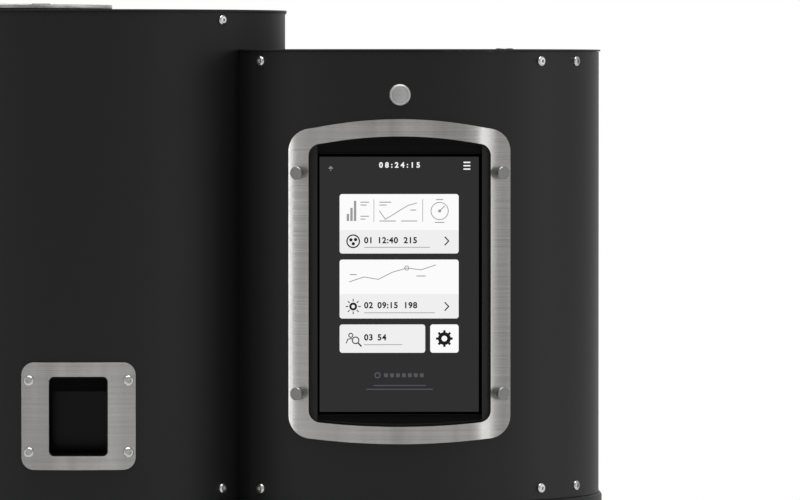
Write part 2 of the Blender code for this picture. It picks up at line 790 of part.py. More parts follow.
def slots(name, x, low, count, pitch, width, height):
    """Cutters for a row of vent slots through the back."""
    middle = BODY_BACK
    return [
        box(
            f"{name}_{i + 1}",
            (x - width / 2, middle - OVERRUN, low + pitch * i),
            (x + width / 2, middle + OVERRUN, low + pitch * i + height),
        )
        for i in range(count)
    ]


def chute_cutter(name, low, high):
    x = ROASTER_X + DISCHARGE_X_IN_LOBE
    back = FACE_FRONT - CLEAR
    return box(name, (x - CHUTE_HALF - CLEAR, back - CHUTE_DEPTH - CLEAR, low), (x + CHUTE_HALF + CLEAR, back, high))


def build_towers():
    roaster_high = ROASTER_TOP - TOP_PLATE - CLEAR
    control_high = CONTROL_TOP - TOP_PLATE - CLEAR
    outer = LOBE_RADIUS + OVERRUN
    shell = slab("roaster_tower_shell", tower_wall(ROASTER_X, SHEET), DECK, roaster_high, "powder_coat")
    width, height = WINDOW_WIDTH + 2 * TUNNEL_SHEET, WINDOW_HEIGHT + 2 * TUNNEL_SHEET
    window = rounded((0, WINDOW_Z), width, height, WINDOW_CORNER)
    duct_hole = rod("duct_opening", (0, DUCT_Y, DUCT_Z), DUCT_RADIUS + RUN, LOBE_SPACING / 3, ALONG_X)
    cut(shell, upright_cutter("window_opening", ROASTER_X, window, -outer, 0), duct_hole)

    neighbour = tower_outline(ROASTER_X, CLEAR)
    shell = slab("control_tower_shell", tower_wall(CONTROL_X, SHEET, False), DECK, control_high, "powder_coat")
    screen = arched((HOUSING_LAP - BEZEL_SIDE_BAND, HOUSING_LAP - BEZEL_BAND), BEZEL_INNER_CORNER)
    cut(
        shell,
        slab("roaster_side", neighbour, DECK - OVERRUN, control_high + OVERRUN),
        upright_cutter("screen_opening", CONTROL_X, screen, -outer, 0),
        rod(
            "button_opening",
            (CONTROL_X, -outer, BASE_TOP + BUTTON_RISE),
            BUTTON_BODY_RADIUS + CLEAR,
            OVERRUN * 2,
            ALONG_Y,
        ),
    )

    inlet = circle((INLET_X, INLET_Y), INLET_RADIUS)
    low = ROASTER_TOP - TOP_PLATE
    slab("roaster_top_plate", tower_outline(ROASTER_X, TOP_OVERHANG), low, ROASTER_TOP, "powder_coat", [inlet])
    low = CONTROL_TOP - TOP_PLATE
    plug = circle((CONTROL_X + PLUG_X_IN_LOBE, PLUG_Y), PLUG_STEM_RADIUS + CLEAR, SMALL_STEPS)
    outline = tower_outline(CONTROL_X, TOP_OVERHANG)
    plate = slab("control_top_plate", outline, low, CONTROL_TOP, "powder_coat", [plug])
    behind_low = (CONTROL_X - LOBE_RADIUS - OVERRUN, 0, low - OVERRUN)
    behind = box("behind_roaster", behind_low, (0, BODY_BACK + OVERRUN, CONTROL_TOP + OVERRUN))
    cut(plate, slab("roaster_side_top", neighbour, low - OVERRUN, CONTROL_TOP + OVERRUN), behind)
    profile = (
        (0, PLUG_PROUD + CLEAR),
        (PLUG_RADIUS - PLUG_PROUD, PLUG_PROUD + CLEAR),
        (PLUG_RADIUS, CLEAR),
        (PLUG_STEM_RADIUS, CLEAR),
        (PLUG_STEM_RADIUS, -PLUG_STEM),
        (0, -PLUG_STEM),
    )
    place = (CONTROL_X + PLUG_X_IN_LOBE, PLUG_Y, CONTROL_TOP)
    turned("top_plug", profile, place, finish="moulded_black", steps=SMALL_STEPS)


def build_rear_panel():
    """One sheet with a step in its top edge, which closes both towers behind their flanges."""
    edge = PANEL_OPENING_HALF + PANEL_LAP
    gap = ROASTER_X + edge
    right = CONTROL_X + edge
    outline = [
        (ROASTER_X - edge, DECK),
        (right, DECK),
        (right, CONTROL_TOP - TOP_PLATE - CLEAR),
        (gap, CONTROL_TOP - TOP_PLATE - CLEAR),
        (gap, ROASTER_TOP - TOP_PLATE - CLEAR),
        (ROASTER_X - edge, ROASTER_TOP - TOP_PLATE - CLEAR),
    ]
    holes = [circle((COLLAR_X, COLLAR_Z), COLLAR_RADIUS - COLLAR_SHEET)]
    for x in (ROASTER_X, CONTROL_X):
        for i in range(LOUVRE_COUNT):
            z = BASE_TOP + LOUVRE_RISE + LOUVRE_PITCH * i
            corner = LOUVRE_HEIGHT / 2 - MERGE
            holes.append(rounded((x, z), LOUVRE_WIDTH, LOUVRE_HEIGHT, corner, 2))
    middle = BODY_BACK + CLEAR + PANEL_SHEET / 2
    flat("rear_panel", outline, PANEL_SHEET, UPRIGHT, (0, middle, 0), "powder_coat", holes)


def build_window():
    inner = LOBE_RADIUS + CLEAR
    low, high = WINDOW_Z - FRAME_HEIGHT, WINDOW_Z + FRAME_HEIGHT
    frame = front_band("window_frame", ROASTER_X, inner, FRAME_SHEET, low, high, "brushed_stainless")
    outline = rounded((0, WINDOW_Z), FRAME_WIDTH, FRAME_HEIGHT, FRAME_CORNER)
    opening = rounded((0, WINDOW_Z), WINDOW_WIDTH, WINDOW_HEIGHT, WINDOW_CORNER)
    front = -inner - FRAME_SHEET - OVERRUN
    edge = upright_cutter("window_frame_edge", ROASTER_X, outline, front, 0)
    keep_inside(frame, edge)
    cut(frame, upright_cutter("window_frame_opening", ROASTER_X, opening, front, 0))

    width, height = WINDOW_WIDTH - 2 * CLEAR, WINDOW_HEIGHT - 2 * CLEAR
    outline = rounded((0, WINDOW_Z), width + 2 * TUNNEL_SHEET, height + 2 * TUNNEL_SHEET, WINDOW_CORNER)
    bore = rounded((0, WINDOW_Z), width, height, WINDOW_CORNER - TUNNEL_SHEET)
    back = FACE_FRONT - CLEAR
    rim_back = back - GLASS_SHEET - CLEAR
    rim_front = rim_back - TUNNEL_RIM_SHEET
    start = -LOBE_RADIUS
    middle = (ROASTER_X, (start + back) / 2, 0)
    tunnel = flat("window_tunnel", outline, back - start, UPRIGHT, middle, "moulded_black")
    low = (ROASTER_X, 0, WINDOW_Z - FRAME_HEIGHT)
    keep_inside(tunnel, rod("tunnel_front", low, LOBE_RADIUS - CLEAR, 2 * FRAME_HEIGHT, steps=LOBE_STEPS * 2))
    view_height = height - LINTEL_HEIGHT - TUNNEL_RIM
    view_z = WINDOW_Z - height / 2 + TUNNEL_RIM + view_height / 2
    view = rounded((0, view_z), width - 2 * TUNNEL_RIM, view_height, WINDOW_CORNER - TUNNEL_SHEET)
    cut(
        tunnel,
        upright_cutter("tunnel_bore", ROASTER_X, bore, start - OVERRUN, rim_front),
        upright_cutter("tunnel_view", ROASTER_X, view, rim_front - OVERRUN, back + OVERRUN),
        upright_cutter("pane_pocket", ROASTER_X, bore, rim_back, back + OVERRUN),
    )
    pane = rounded((0, WINDOW_Z), width - 2 * CLEAR, height - 2 * CLEAR, WINDOW_CORNER - TUNNEL_SHEET - CLEAR)
    flat("window_glass", pane, GLASS_SHEET, UPRIGHT, (ROASTER_X, back - GLASS_SHEET / 2, 0), "sight_glass")


def build_screen():
    inner = LOBE_RADIUS + CLEAR
    front = -inner - BEZEL_SHEET - OVERRUN
    bezel = front_band("screen_bezel", CONTROL_X, inner, BEZEL_SHEET, BASE_TOP, CONTROL_TOP, "brushed_stainless")
    keep_inside(bezel, upright_cutter("bezel_edge", CONTROL_X, arched((0, 0), BEZEL_CORNER), front, 0))
    opening = arched((-BEZEL_SIDE_BAND, -BEZEL_BAND), BEZEL_INNER_CORNER)
    cut(bezel, upright_cutter("bezel_opening", CONTROL_X, opening, front, 0))

    outline = arched((-BEZEL_SIDE_BAND - CLEAR, -BEZEL_BAND - CLEAR), BEZEL_INNER_CORNER - CLEAR)
    back = HOUSING_DEPTH - HOUSING_FRONT
    middle = (CONTROL_X, (back - LOBE_RADIUS) / 2, 0)
    housing = flat("screen_housing", outline, back + LOBE_RADIUS, UPRIGHT, middle, "moulded_black")
    low = (CONTROL_X, 0, BASE_TOP)
    keep_inside(housing, rod("housing_front", low, LOBE_RADIUS - CLEAR, CONTROL_HEIGHT, steps=LOBE_STEPS * 2))
    flange = arched((HOUSING_FLANGE - BEZEL_SIDE_BAND, HOUSING_FLANGE - BEZEL_BAND), BEZEL_INNER_CORNER)
    flange_y = HOUSING_FLANGE_SHEET / 2 - HOUSING_FLANGE_FRONT
    lap = flat("housing_flange", flange, HOUSING_FLANGE_SHEET, UPRIGHT, (CONTROL_X, flange_y, 0))
    join(housing, lap)
    screen_z = BASE_TOP + SCREEN_RISE
    board_x, board_z = BOARD_WIDTH / 2 - BOSS_RADIUS, BOARD_HEIGHT / 2 - BOSS_RADIUS
    for number, (sx, sz) in enumerate(((-1, -1), (1, -1), (-1, 1), (1, 1)), 1):
        place = (CONTROL_X + sx * board_x, back - SHEET, screen_z + sz * board_z)
        join(housing, rod(f"board_boss_{number}", place, BOSS_RADIUS, BOSS_LENGTH + SHEET, ALONG_Y))
    pocket = rounded((0, screen_z), SCREEN_WIDTH + 2 * CLEAR, SCREEN_HEIGHT + 2 * CLEAR, SCREEN_CORNER)
    pocket_back = -HOUSING_FRONT - SCREEN_PROUD + SCREEN_DEPTH + CLEAR
    recess = arched((-BEZEL_SIDE_BAND - HOUSING_RIM, -BEZEL_BAND - HOUSING_RIM), BEZEL_INNER_CORNER - HOUSING_RIM)
    cut(
        housing,
        upright_cutter("housing_recess", CONTROL_X, recess, -LOBE_RADIUS - OVERRUN, -HOUSING_FRONT),
        upright_cutter("screen_pocket", CONTROL_X, pocket, -HOUSING_FRONT - OVERRUN, pocket_back),
    )

    glass = rounded((0, screen_z), SCREEN_WIDTH, SCREEN_HEIGHT, SCREEN_CORNER)
    middle = (CONTROL_X, -HOUSING_FRONT - SCREEN_PROUD + SCREEN_DEPTH / 2, 0)
    flat("touchscreen", glass, SCREEN_DEPTH, UPRIGHT, middle, "black_glass")
    half = BOARD_HEIGHT / 2
    board = rectangle(-BOARD_WIDTH / 2, screen_z - half, BOARD_WIDTH / 2, screen_z + half)
    middle = (CONTROL_X, back + BOSS_LENGTH + CLEAR + BOARD_SHEET / 2, 0)
    flat("control_board", board, BOARD_SHEET, UPRIGHT, middle, "circuit_board")


def build_button():
    """A ring set in the sheet, with a sprung cap that slides in it."""
    face = LOBE_RADIUS + CLEAR
    place = (CONTROL_X, -face, BASE_TOP + BUTTON_RISE)
    bore = BUTTON_CAP_RADIUS + CLEAR
    ring = (
        (bore, -BUTTON_PROUD),
        (BUTTON_RADIUS - BUTTON_DISH, -BUTTON_PROUD),
        (BUTTON_RADIUS, BUTTON_DISH - BUTTON_PROUD),
        (BUTTON_RADIUS, 0),
        (BUTTON_BODY_RADIUS, 0),
        (BUTTON_BODY_RADIUS, BUTTON_LENGTH),
        (bore, BUTTON_LENGTH),
    )
    turned("power_button_ring", ring, place, ALONG_Y, "brushed_stainless", SMALL_STEPS * 2)
    length = BUTTON_LENGTH / 2
    cap = (
        (0, BUTTON_DISH - BUTTON_PROUD),
        (BUTTON_CAP_RADIUS / 2, BUTTON_DISH / 2 - BUTTON_PROUD),
        (BUTTON_CAP_RADIUS, -BUTTON_PROUD),
        (BUTTON_CAP_RADIUS, length),
        (0, length),
    )
    made = turned("power_button_cap", cap, place, ALONG_Y, "brushed_stainless", SMALL_STEPS * 2)
    pivot(made, "power_button_press", place)


def build_inlet():
    top = ROASTER_TOP
    lid_low = top + LID_GAP
    lid_high = lid_low + LID_SHEET
    gasket = (
        (GASKET_RADIUS, lid_low - CLEAR - top),
        (GASKET_RADIUS, CLEAR),
        (GASKET_BORE, CLEAR),
        (GASKET_BORE, lid_low - CLEAR - top),
    )
    turned("inlet_gasket", gasket, (INLET_X, INLET_Y, top), finish="silicone")

    disc = (
        (0, LID_SHEET),
        (LID_RADIUS - LID_EDGE, LID_SHEET),
        (LID_RADIUS, LID_SHEET - LID_EDGE),
        (LID_RADIUS, LID_EDGE),
        (LID_RADIUS - LID_EDGE, 0),
        (0, 0),
    )
    place = (INLET_X, INLET_Y, lid_low)
    lid = turned("inlet_lid", disc, place, finish="brushed_stainless", steps=ROUND_STEPS * 2)
    tab_x = INLET_X - LID_RADIUS - LID_TAB_REACH
    tab_end = INLET_X - LID_RADIUS + LID_TAB_REACH
    middle = ((tab_x + tab_end) / 2, INLET_Y)
    outline = rounded(middle, tab_end - tab_x, LID_TAB_WIDTH, LID_TAB_REACH / 2)
    hinge_y = INLET_Y + LID_RADIUS + HINGE_OFFSET
    hinge_z = lid_high - HINGE_RADIUS
    tongue = box(
        "lid_tongue",
        (INLET_X - HINGE_KNUCKLE / 2, INLET_Y + LID_RADIUS - HINGE_OFFSET, lid_low + LID_EDGE),
        (INLET_X + HINGE_KNUCKLE / 2, hinge_y, lid_high - LID_EDGE),
    )
    start = (INLET_X - HINGE_KNUCKLE / 2, hinge_y, hinge_z)
    knuckle = rod("lid_knuckle", start, HINGE_RADIUS, HINGE_KNUCKLE, ALONG_X)
    join(lid, slab("lid_tab", outline, lid_low + LID_EDGE, lid_high - LID_EDGE), tongue, knuckle)
    whole = HINGE_KNUCKLE + 2 * (HINGE_SIDE_KNUCKLE + RUN)
    start = (INLET_X - whole / 2 - OVERRUN, hinge_y, hinge_z)
    bore = rod("hinge_bore", start, HINGE_PIN_RADIUS + CLEAR, whole + 2 * OVERRUN, ALONG_X)
    cut(lid, bore)
    pivot(lid, "inlet_lid_hinge", (INLET_X, hinge_y, hinge_z))

    leaf_low = top + CLEAR
    low_y, high_y = hinge_y + HINGE_RADIUS + RUN, hinge_y + HINGE_LEAF_REACH
    leaf = box(
        "lid_hinge_bracket",
        (INLET_X - whole / 2, low_y, leaf_low),
        (INLET_X + whole / 2, high_y, leaf_low + HINGE_LEAF_SHEET),
        "brushed_stainless",
    )
    for side in (-1, 1):
        x = INLET_X + side * (HINGE_KNUCKLE / 2 + RUN + HINGE_SIDE_KNUCKLE / 2) - HINGE_SIDE_KNUCKLE / 2
        place = (x, hinge_y, hinge_z)
        knuckle = rod(f"side_knuckle_{side}", place, HINGE_RADIUS, HINGE_SIDE_KNUCKLE, ALONG_X)
        web = box(
            f"side_web_{side}",
            (x, hinge_y - HINGE_RADIUS / 2, leaf_low),
            (x + HINGE_SIDE_KNUCKLE, low_y + HINGE_RADIUS, leaf_low + HINGE_LEAF_SHEET),
        )
        join(leaf, knuckle, web)
    cut(leaf, bore)
    start = (INLET_X - whole / 2, hinge_y, hinge_z)
    rod("lid_hinge_pin", start, HINGE_PIN_RADIUS, whole, ALONG_X, "brushed_stainless")


def throat_sections(shrink, extra=0.0):
    """The funnel's level sections, as (x, y, height, radius), from the lid down and back to the drum's face."""
    high = ROASTER_TOP - TOP_PLATE - CLEAR
    throat_z = high - THROAT_DEPTH
    mouth_x, mouth_z = ROASTER_X + MOUTH_X_IN_LOBE, BASE_TOP + MOUTH_RISE
    throat_x = (INLET_X + mouth_x) / 2
    waist = (throat_x, THROAT_Y, throat_z, THROAT_RADIUS - shrink)
    rim = (INLET_X, INLET_Y, high + extra, INLET_RADIUS - shrink)
    return [
        rim,
        (INLET_X, INLET_Y, high - FUNNEL_FLANGE, INLET_RADIUS - shrink),
        waist,
        (throat_x, THROAT_Y, throat_z - THROAT_RADIUS, THROAT_RADIUS - shrink),
        (mouth_x, MOUTH_Y, mouth_z - THROAT_RADIUS, THROAT_RADIUS - shrink),
    ]


def lofted(name, sections, finish=None, steps=ROUND_STEPS):
    """A skin through level round sections of unlike size, closed at both ends."""
    work = bmesh.new()
    rings = []
    for x, y, z, radius in sections:
        rings.append([work.verts.new((px, py, z)) for px, py in circle((x, y), radius, steps)])
    for upper, lower in zip(rings, rings[1:]):
        for i in range(steps):
            j = (i + 1) % steps
            work.faces.new((upper[i], upper[j], lower[j], lower[i]))
    work.faces.new(rings[0])
    work.faces.new(rings[-1])
    mesh = bpy.data.meshes.new(name)
    work.to_mesh(mesh)
    work.free()
    return add(name, cleaned(mesh), finish)


def build_funnel():
    funnel = lofted("inlet_funnel", throat_sections(-FUNNEL_SHEET), "brushed_stainless")
    high = ROASTER_TOP - TOP_PLATE - CLEAR
    flange = rod(
        "funnel_flange",
        (INLET_X, INLET_Y, high - FUNNEL_SHEET),
        INLET_RADIUS + FUNNEL_FLANGE,
        FUNNEL_SHEET,
        steps=ROUND_STEPS,
    )
    join(funnel, flange)
    behind = box(
        "behind_face",
        (ROASTER_X - FACE_HALF, FACE_FRONT - CLEAR, BASE_TOP),
        (ROASTER_X + FACE_HALF, 0, DRUM_Z + FACE_HALF),
    )
    cut(funnel, lofted("funnel_bore", throat_sections(0, OVERRUN)), behind)


def drum_plate_outline():
    """An arch over the drum with a square foot on the deck."""
    top = arc((0, DRUM_Z), FACE_HALF, 0, 180, ROUND_STEPS)
    return [(-FACE_HALF, DECK), (FACE_HALF, DECK)] + top


def build_drum():
    shaft_hole = circle((0, DRUM_Z), SHAFT_RADIUS + RUN, SMALL_STEPS)
    inside = WINDOW_WIDTH - 2 * TUNNEL_RIM, WINDOW_HEIGHT - 2 * TUNNEL_RIM
    window = rounded((0, WINDOW_Z), *inside, WINDOW_CORNER)
    discharge = rectangle(
        DISCHARGE_X_IN_LOBE - DISCHARGE_HALF,
        BASE_TOP + DISCHARGE_LOW,
        DISCHARGE_X_IN_LOBE + DISCHARGE_HALF,
        BASE_TOP + DISCHARGE_HIGH,
    )
    place = (ROASTER_X, FACE_Y - FACE_SHEET / 2, 0)
    holes = [shaft_hole, window, discharge]
    face = flat("drum_front_plate", drum_plate_outline(), FACE_SHEET, UPRIGHT, place, "drum_steel", holes)
    cut(face, lofted("face_bean_mouth", throat_sections(0)))

    place = (ROASTER_X, REAR_PLATE_Y + REAR_PLATE_SHEET / 2, 0)
    holes = [shaft_hole, circle((0, DUCT_Z), DUCT_RADIUS - DUCT_SHEET, SMALL_STEPS)]
    for turn in heater_turns()[:: HEATER_RUNS - 1]:
        x, z = HEATER_RADIUS * math.sin(turn), DRUM_Z - HEATER_RADIUS * math.cos(turn)
        holes.append(circle((x, z), HEATER_ROD + CLEAR, SMALL_STEPS // 2))
    flat("drum_rear_plate", drum_plate_outline(), REAR_PLATE_SHEET, UPRIGHT, place, "drum_steel", holes)

    jacket_front, jacket_back = FACE_Y + CLEAR, REAR_PLATE_Y - CLEAR
    jacket = (
        (JACKET_RADIUS, jacket_back),
        (JACKET_RADIUS, jacket_front),
        (JACKET_RADIUS - JACKET_SHEET, jacket_front),
        (JACKET_RADIUS - JACKET_SHEET, jacket_back),
    )
    centre = (ROASTER_X, 0, DRUM_Z)
    turned("drum_jacket", jacket, centre, ALONG_Y, "zinc_steel", DRUM_STEPS)

    front, back = FACE_Y + DRUM_FRONT_GAP, REAR_PLATE_Y - DRUM_BACK_GAP
    inner = DRUM_RADIUS - DRUM_SHEET
    bore = SHAFT_RADIUS + CLEAR
    drum = (
        (DRUM_RADIUS, back),
        (DRUM_RADIUS, front),
        (inner, front),
        (inner, back - DRUM_SHEET),
        (bore, back - DRUM_SHEET),
        (bore, back),
    )
    drum = turned("drum", drum, centre, ALONG_Y, "drum_steel", DRUM_STEPS)
    for i in range(DRUM_VENT_COUNT):
        turn = 2 * math.pi * (i + 1 / 2) / DRUM_VENT_COUNT
        x, z = DRUM_VENT_CIRCLE * math.cos(turn), DRUM_VENT_CIRCLE * math.sin(turn)
        place = (ROASTER_X + x, back - OVERRUN, DRUM_Z + z)
        cut(drum, rod(f"drum_vent_{i + 1}", place, DRUM_VENT_RADIUS, 2 * OVERRUN, ALONG_Y, steps=VENT_STEPS))

    vane_outer = inner - CLEAR
    vane_inner = vane_outer - VANE_HEIGHT
    length = back - DRUM_SHEET - front - 2 * VANE_END_GAP
    hub_front = front + VANE_END_GAP + length / 2 - HUB_LENGTH / 2
    hub = ((HUB_RADIUS, HUB_LENGTH), (HUB_RADIUS, 0), (bore, 0), (bore, HUB_LENGTH))
    vanes = turned("drum_vanes", hub, (ROASTER_X, hub_front, DRUM_Z), ALONG_Y, "drum_steel", SMALL_STEPS)
    for i in range(VANE_COUNT):
        turn = 2 * math.pi * i / VANE_COUNT
        start = Matrix.Rotation(turn, 4, "Y") @ ALONG_Y
        name = f"vane_{i + 1}"
        place = (ROASTER_X, front + VANE_END_GAP, DRUM_Z)
        vane = helicoid(name, vane_inner, vane_outer, length, VANE_SWEEP, VANE_SHEET, VANE_STEPS, start, place)
        arm = box(
            f"vane_arm_{i + 1}",
            (HUB_RADIUS - VANE_SHEET, -ARM_WIDTH / 2, -ARM_SHEET / 2),
            (vane_inner + VANE_HEIGHT / 3, ARM_WIDTH / 2, ARM_SHEET / 2),
        )
        lean = Matrix.Rotation(turn + VANE_SWEEP / 2, 4, "Y")
        arm.data.transform(Matrix.Translation((ROASTER_X, hub_front + HUB_LENGTH / 2, DRUM_Z)) @ lean)
        join(vanes, vane, arm)

    start = FACE_FRONT - SHAFT_FRONT
    end = PULLEY_Y + PULLEY_WIDTH / 2
    shaft = rod("drum_shaft", (ROASTER_X, start, DRUM_Z), SHAFT_RADIUS, end - start, ALONG_Y, "drum_steel")
    web, rim = PULLEY_WEB / 2, PULLEY_WIDTH / 2
    outer, hub_radius = PULLEY_RADIUS, HUB_RADIUS
    pulley = (
        (outer, rim),
        (outer, -rim),
        (outer - PULLEY_RIM, -rim),
        (outer - PULLEY_RIM, -web),
        (hub_radius, -web),
        (hub_radius, -rim),
        (bore, -rim),
        (bore, rim),
        (hub_radius, rim),
        (hub_radius, web),
        (outer - PULLEY_RIM, web),
        (outer - PULLEY_RIM, rim),
    )
    pulley = turned("drum_pulley", pulley, (ROASTER_X, PULLEY_Y, DRUM_Z), ALONG_Y, "cast_aluminium")
    for piece in (drum, vanes, shaft, pulley):
        pivot(piece, "drum_spin", centre)
    run = SHAFT_RADIUS + CLEAR
    bearing = (
        (BEARING_RADIUS, BEARING_LENGTH),
        (BEARING_RADIUS, BEARING_FLANGE),
        (BEARING_FLANGE_RADIUS, BEARING_FLANGE),
        (BEARING_FLANGE_RADIUS, 0),
        (run, 0),
        (run, BEARING_LENGTH),
    )
    place = (ROASTER_X, FACE_FRONT - CLEAR, DRUM_Z)
    turned("front_bearing", bearing, place, UPRIGHT, "cast_aluminium", ROUND_STEPS)
    place = (ROASTER_X, REAR_PLATE_Y + REAR_PLATE_SHEET + CLEAR, DRUM_Z)
    rear = (
        (BEARING_RADIUS, PULLEY_Y_GAP / 2 - CLEAR),
        (BEARING_RADIUS, 0),
        (run, 0),
        (run, PULLEY_Y_GAP / 2 - CLEAR),
    )
    turned("rear_bearing", rear, place, ALONG_Y, "cast_aluminium", ROUND_STEPS)


def build_drive():
    """A geared motor behind the drum, its pulley and the flat belt round both pulleys."""
    small, large = MOTOR_PULLEY_RADIUS, PULLEY_RADIUS
    start, end = Vector((ROASTER_X, DRUM_Z)), Vector((MOTOR_X, MOTOR_Z))
    across = end - start
    heading = math.degrees(math.atan2(across.y, across.x))
    lean = math.degrees(math.acos((large - small) / across.length))

    def loop(grow):
        big = arc(start, large + grow, heading + lean, heading + 360 - lean, BELT_STEPS)
        little = arc(end, small + grow, heading - lean, heading + lean, BELT_STEPS // 2)
        return big + little

    outline, hole = loop(RUN + BELT_SHEET), loop(RUN)
    flat("drive_belt", outline, BELT_WIDTH, UPRIGHT, (0, PULLEY_Y, 0), "rubber", [hole])

    plate_front = PULLEY_Y + PULLEY_WIDTH / 2 + MOTOR_PLATE_GAP
    half = PULLEY_WIDTH / 2
    pulley = ((0, half), (small, half), (small, -half), (0, -half))
    place = (MOTOR_X, PULLEY_Y, MOTOR_Z)
    pulley = turned("motor_pulley", pulley, place, ALONG_Y, "cast_aluminium", SMALL_STEPS)
    shaft_length = plate_front + MOTOR_PLATE_SHEET - PULLEY_Y
    join(pulley, rod("motor_shaft", place, MOTOR_SHAFT_RADIUS, shaft_length, ALONG_Y))
    pivot(pulley, "motor_spin", place)

    half = MOTOR_PLATE_HALF
    plate_back = plate_front + MOTOR_PLATE_SHEET
    motor = box(
        "drum_motor",
        (MOTOR_X - half, plate_front, DECK),
        (MOTOR_X + half, plate_back, MOTOR_Z + half),
        "motor_black",
    )
    foot = box(
        "motor_foot",
        (MOTOR_X - half, plate_front + MOTOR_PLATE_SHEET / 2, DECK),
        (MOTOR_X + half, plate_front + MOTOR_FOOT, DECK + MOTOR_PLATE_SHEET),
    )
    start = (MOTOR_X, plate_front + MOTOR_PLATE_SHEET / 2, MOTOR_Z)
    can = rod("motor_can", start, MOTOR_RADIUS, MOTOR_LENGTH, ALONG_Y, steps=ROUND_STEPS)
    join(motor, foot, can)
    bore = MOTOR_SHAFT_RADIUS + RUN
    cut(motor, rod("motor_shaft_hole", place, bore, shaft_length + RUN, ALONG_Y))


def heater_turns():
    middle = (HEATER_RUNS - 1) / 2
    return [HEATER_SPREAD * (i - middle) for i in range(HEATER_RUNS)]


def build_heater():
    """A sheathed rod that runs forward and back under the drum, its two tails through the rear plate."""
    front, back = FACE_Y + HEATER_FRONT_INSET, REAR_PLATE_Y - HEATER_BACK_INSET
    tail = REAR_PLATE_Y + REAR_PLATE_SHEET + HEATER_TAIL
    turns = heater_turns()
    reach = HEATER_RADIUS * HEATER_SPREAD / 2

    def point(turn, y):
        return (ROASTER_X + HEATER_RADIUS * math.sin(turn), y, DRUM_Z - HEATER_RADIUS * math.cos(turn))

    points = [point(turns[0], tail)]
    for i, (here, there) in enumerate(zip(turns, turns[1:])):
        level, way = (front, -1) if i % 2 == 0 else (back, 1)
        for step in range(HEATER_TURN_STEPS + 1):
            bend = math.pi * step / HEATER_TURN_STEPS
            turn = (here + there) / 2 - (there - here) / 2 * math.cos(bend)
            points.append(point(turn, level + way * (reach * math.sin(bend) - reach)))
    points.append(point(turns[-1], tail))
    tube("heater", points, HEATER_ROD, "heater_sheath")


def build_discharge():
    x = ROASTER_X + DISCHARGE_X_IN_LOBE
    back = FACE_FRONT - CLEAR
    high = BASE_TOP + CHUTE_HIGH
    front = back - CHUTE_DEPTH
    low = (x - CHUTE_HALF, front, CHUTE_LOW)
    chute = box("discharge_chute", low, (x + CHUTE_HALF, back, high), "drum_steel")
    wall = CHUTE_SHEET
    hinge_z = BASE_TOP + FLAP_HINGE_RISE
    hinge_y = back - RUN - FLAP_BARREL
    start = (x - CHUTE_HALF + wall - RUN * 2, hinge_y, hinge_z)
    length = 2 * (CHUTE_HALF - wall + RUN * 2)
    before = (start[0] - OVERRUN, hinge_y, hinge_z)
    cut(
        chute,
        box(
            "chute_hollow",
            (x - CHUTE_HALF + wall, front + wall, CHUTE_LOW - OVERRUN),
            (x + CHUTE_HALF - wall, back - wall, high - wall),
        ),
        box(
            "chute_mouth",
            (x - CHUTE_HALF + wall, back - 2 * wall, BASE_TOP + DISCHARGE_LOW - FLAP_LAP - RUN),
            (x + CHUTE_HALF - wall, back + OVERRUN, high - wall),
        ),
        rod("flap_pivot_holes", before, FLAP_BARREL / 2 + CLEAR, length + 2 * OVERRUN, ALONG_X),
    )
    half = DISCHARGE_HALF + FLAP_LAP
    flap = box(
        "discharge_flap",
        (x - half, back - FLAP_SHEET, BASE_TOP + DISCHARGE_LOW - FLAP_LAP),
        (x + half, back, hinge_z),
        "drum_steel",
    )
    barrel = rod("flap_barrel", (x - half, hinge_y, hinge_z), FLAP_BARREL, 2 * half, ALONG_X)
    trunnion = rod("flap_trunnion", start, FLAP_BARREL / 2, length, ALONG_X)
    join(flap, barrel, trunnion)
    pivot(flap, "discharge_flap_hinge", (x, hinge_y, hinge_z))


def build_cooling_bay():
    low = (ROASTER_X - BAY_HALF, -BASE_RADIUS - OVERRUN, BAY_LOW)
    high = (ROASTER_X + BAY_HALF, BAY_BACK, BAY_HIGH)
    bay = box("cooling_bay", low, high, "powder_coat")
    wall = BAY_SHEET
    cut(
        bay,
        box(
            "bay_hollow",
            (low[0] + wall, low[1] - OVERRUN, low[2] + wall),
            (high[0] - wall, high[1] - wall, high[2] - wall),
        ),
        chute_cutter("bay_chute_opening", BAY_HIGH - OVERRUN, BAY_HIGH + OVERRUN),
        rod("bay_fan_hole", (ROASTER_X, FAN_Y, BAY_LOW - OVERRUN), FAN_HOLE, 2 * OVERRUN, steps=ROUND_STEPS),
    )
    front = rod(
        "bay_front",
        (ROASTER_X, 0, BAY_LOW - OVERRUN),
        BASE_RADIUS,
        BAY_HIGH - BAY_LOW + 2 * OVERRUN,
        steps=LOBE_STEPS * 2,
    )
    keep_inside(bay, front)


def gate_limits():
    """The gate's lower and upper edges when it is shut."""
    low = LEDGE_TOP - GATE_SILL
    return low, BEAN_FLOOR + GATE_OPENING + GATE_LAP


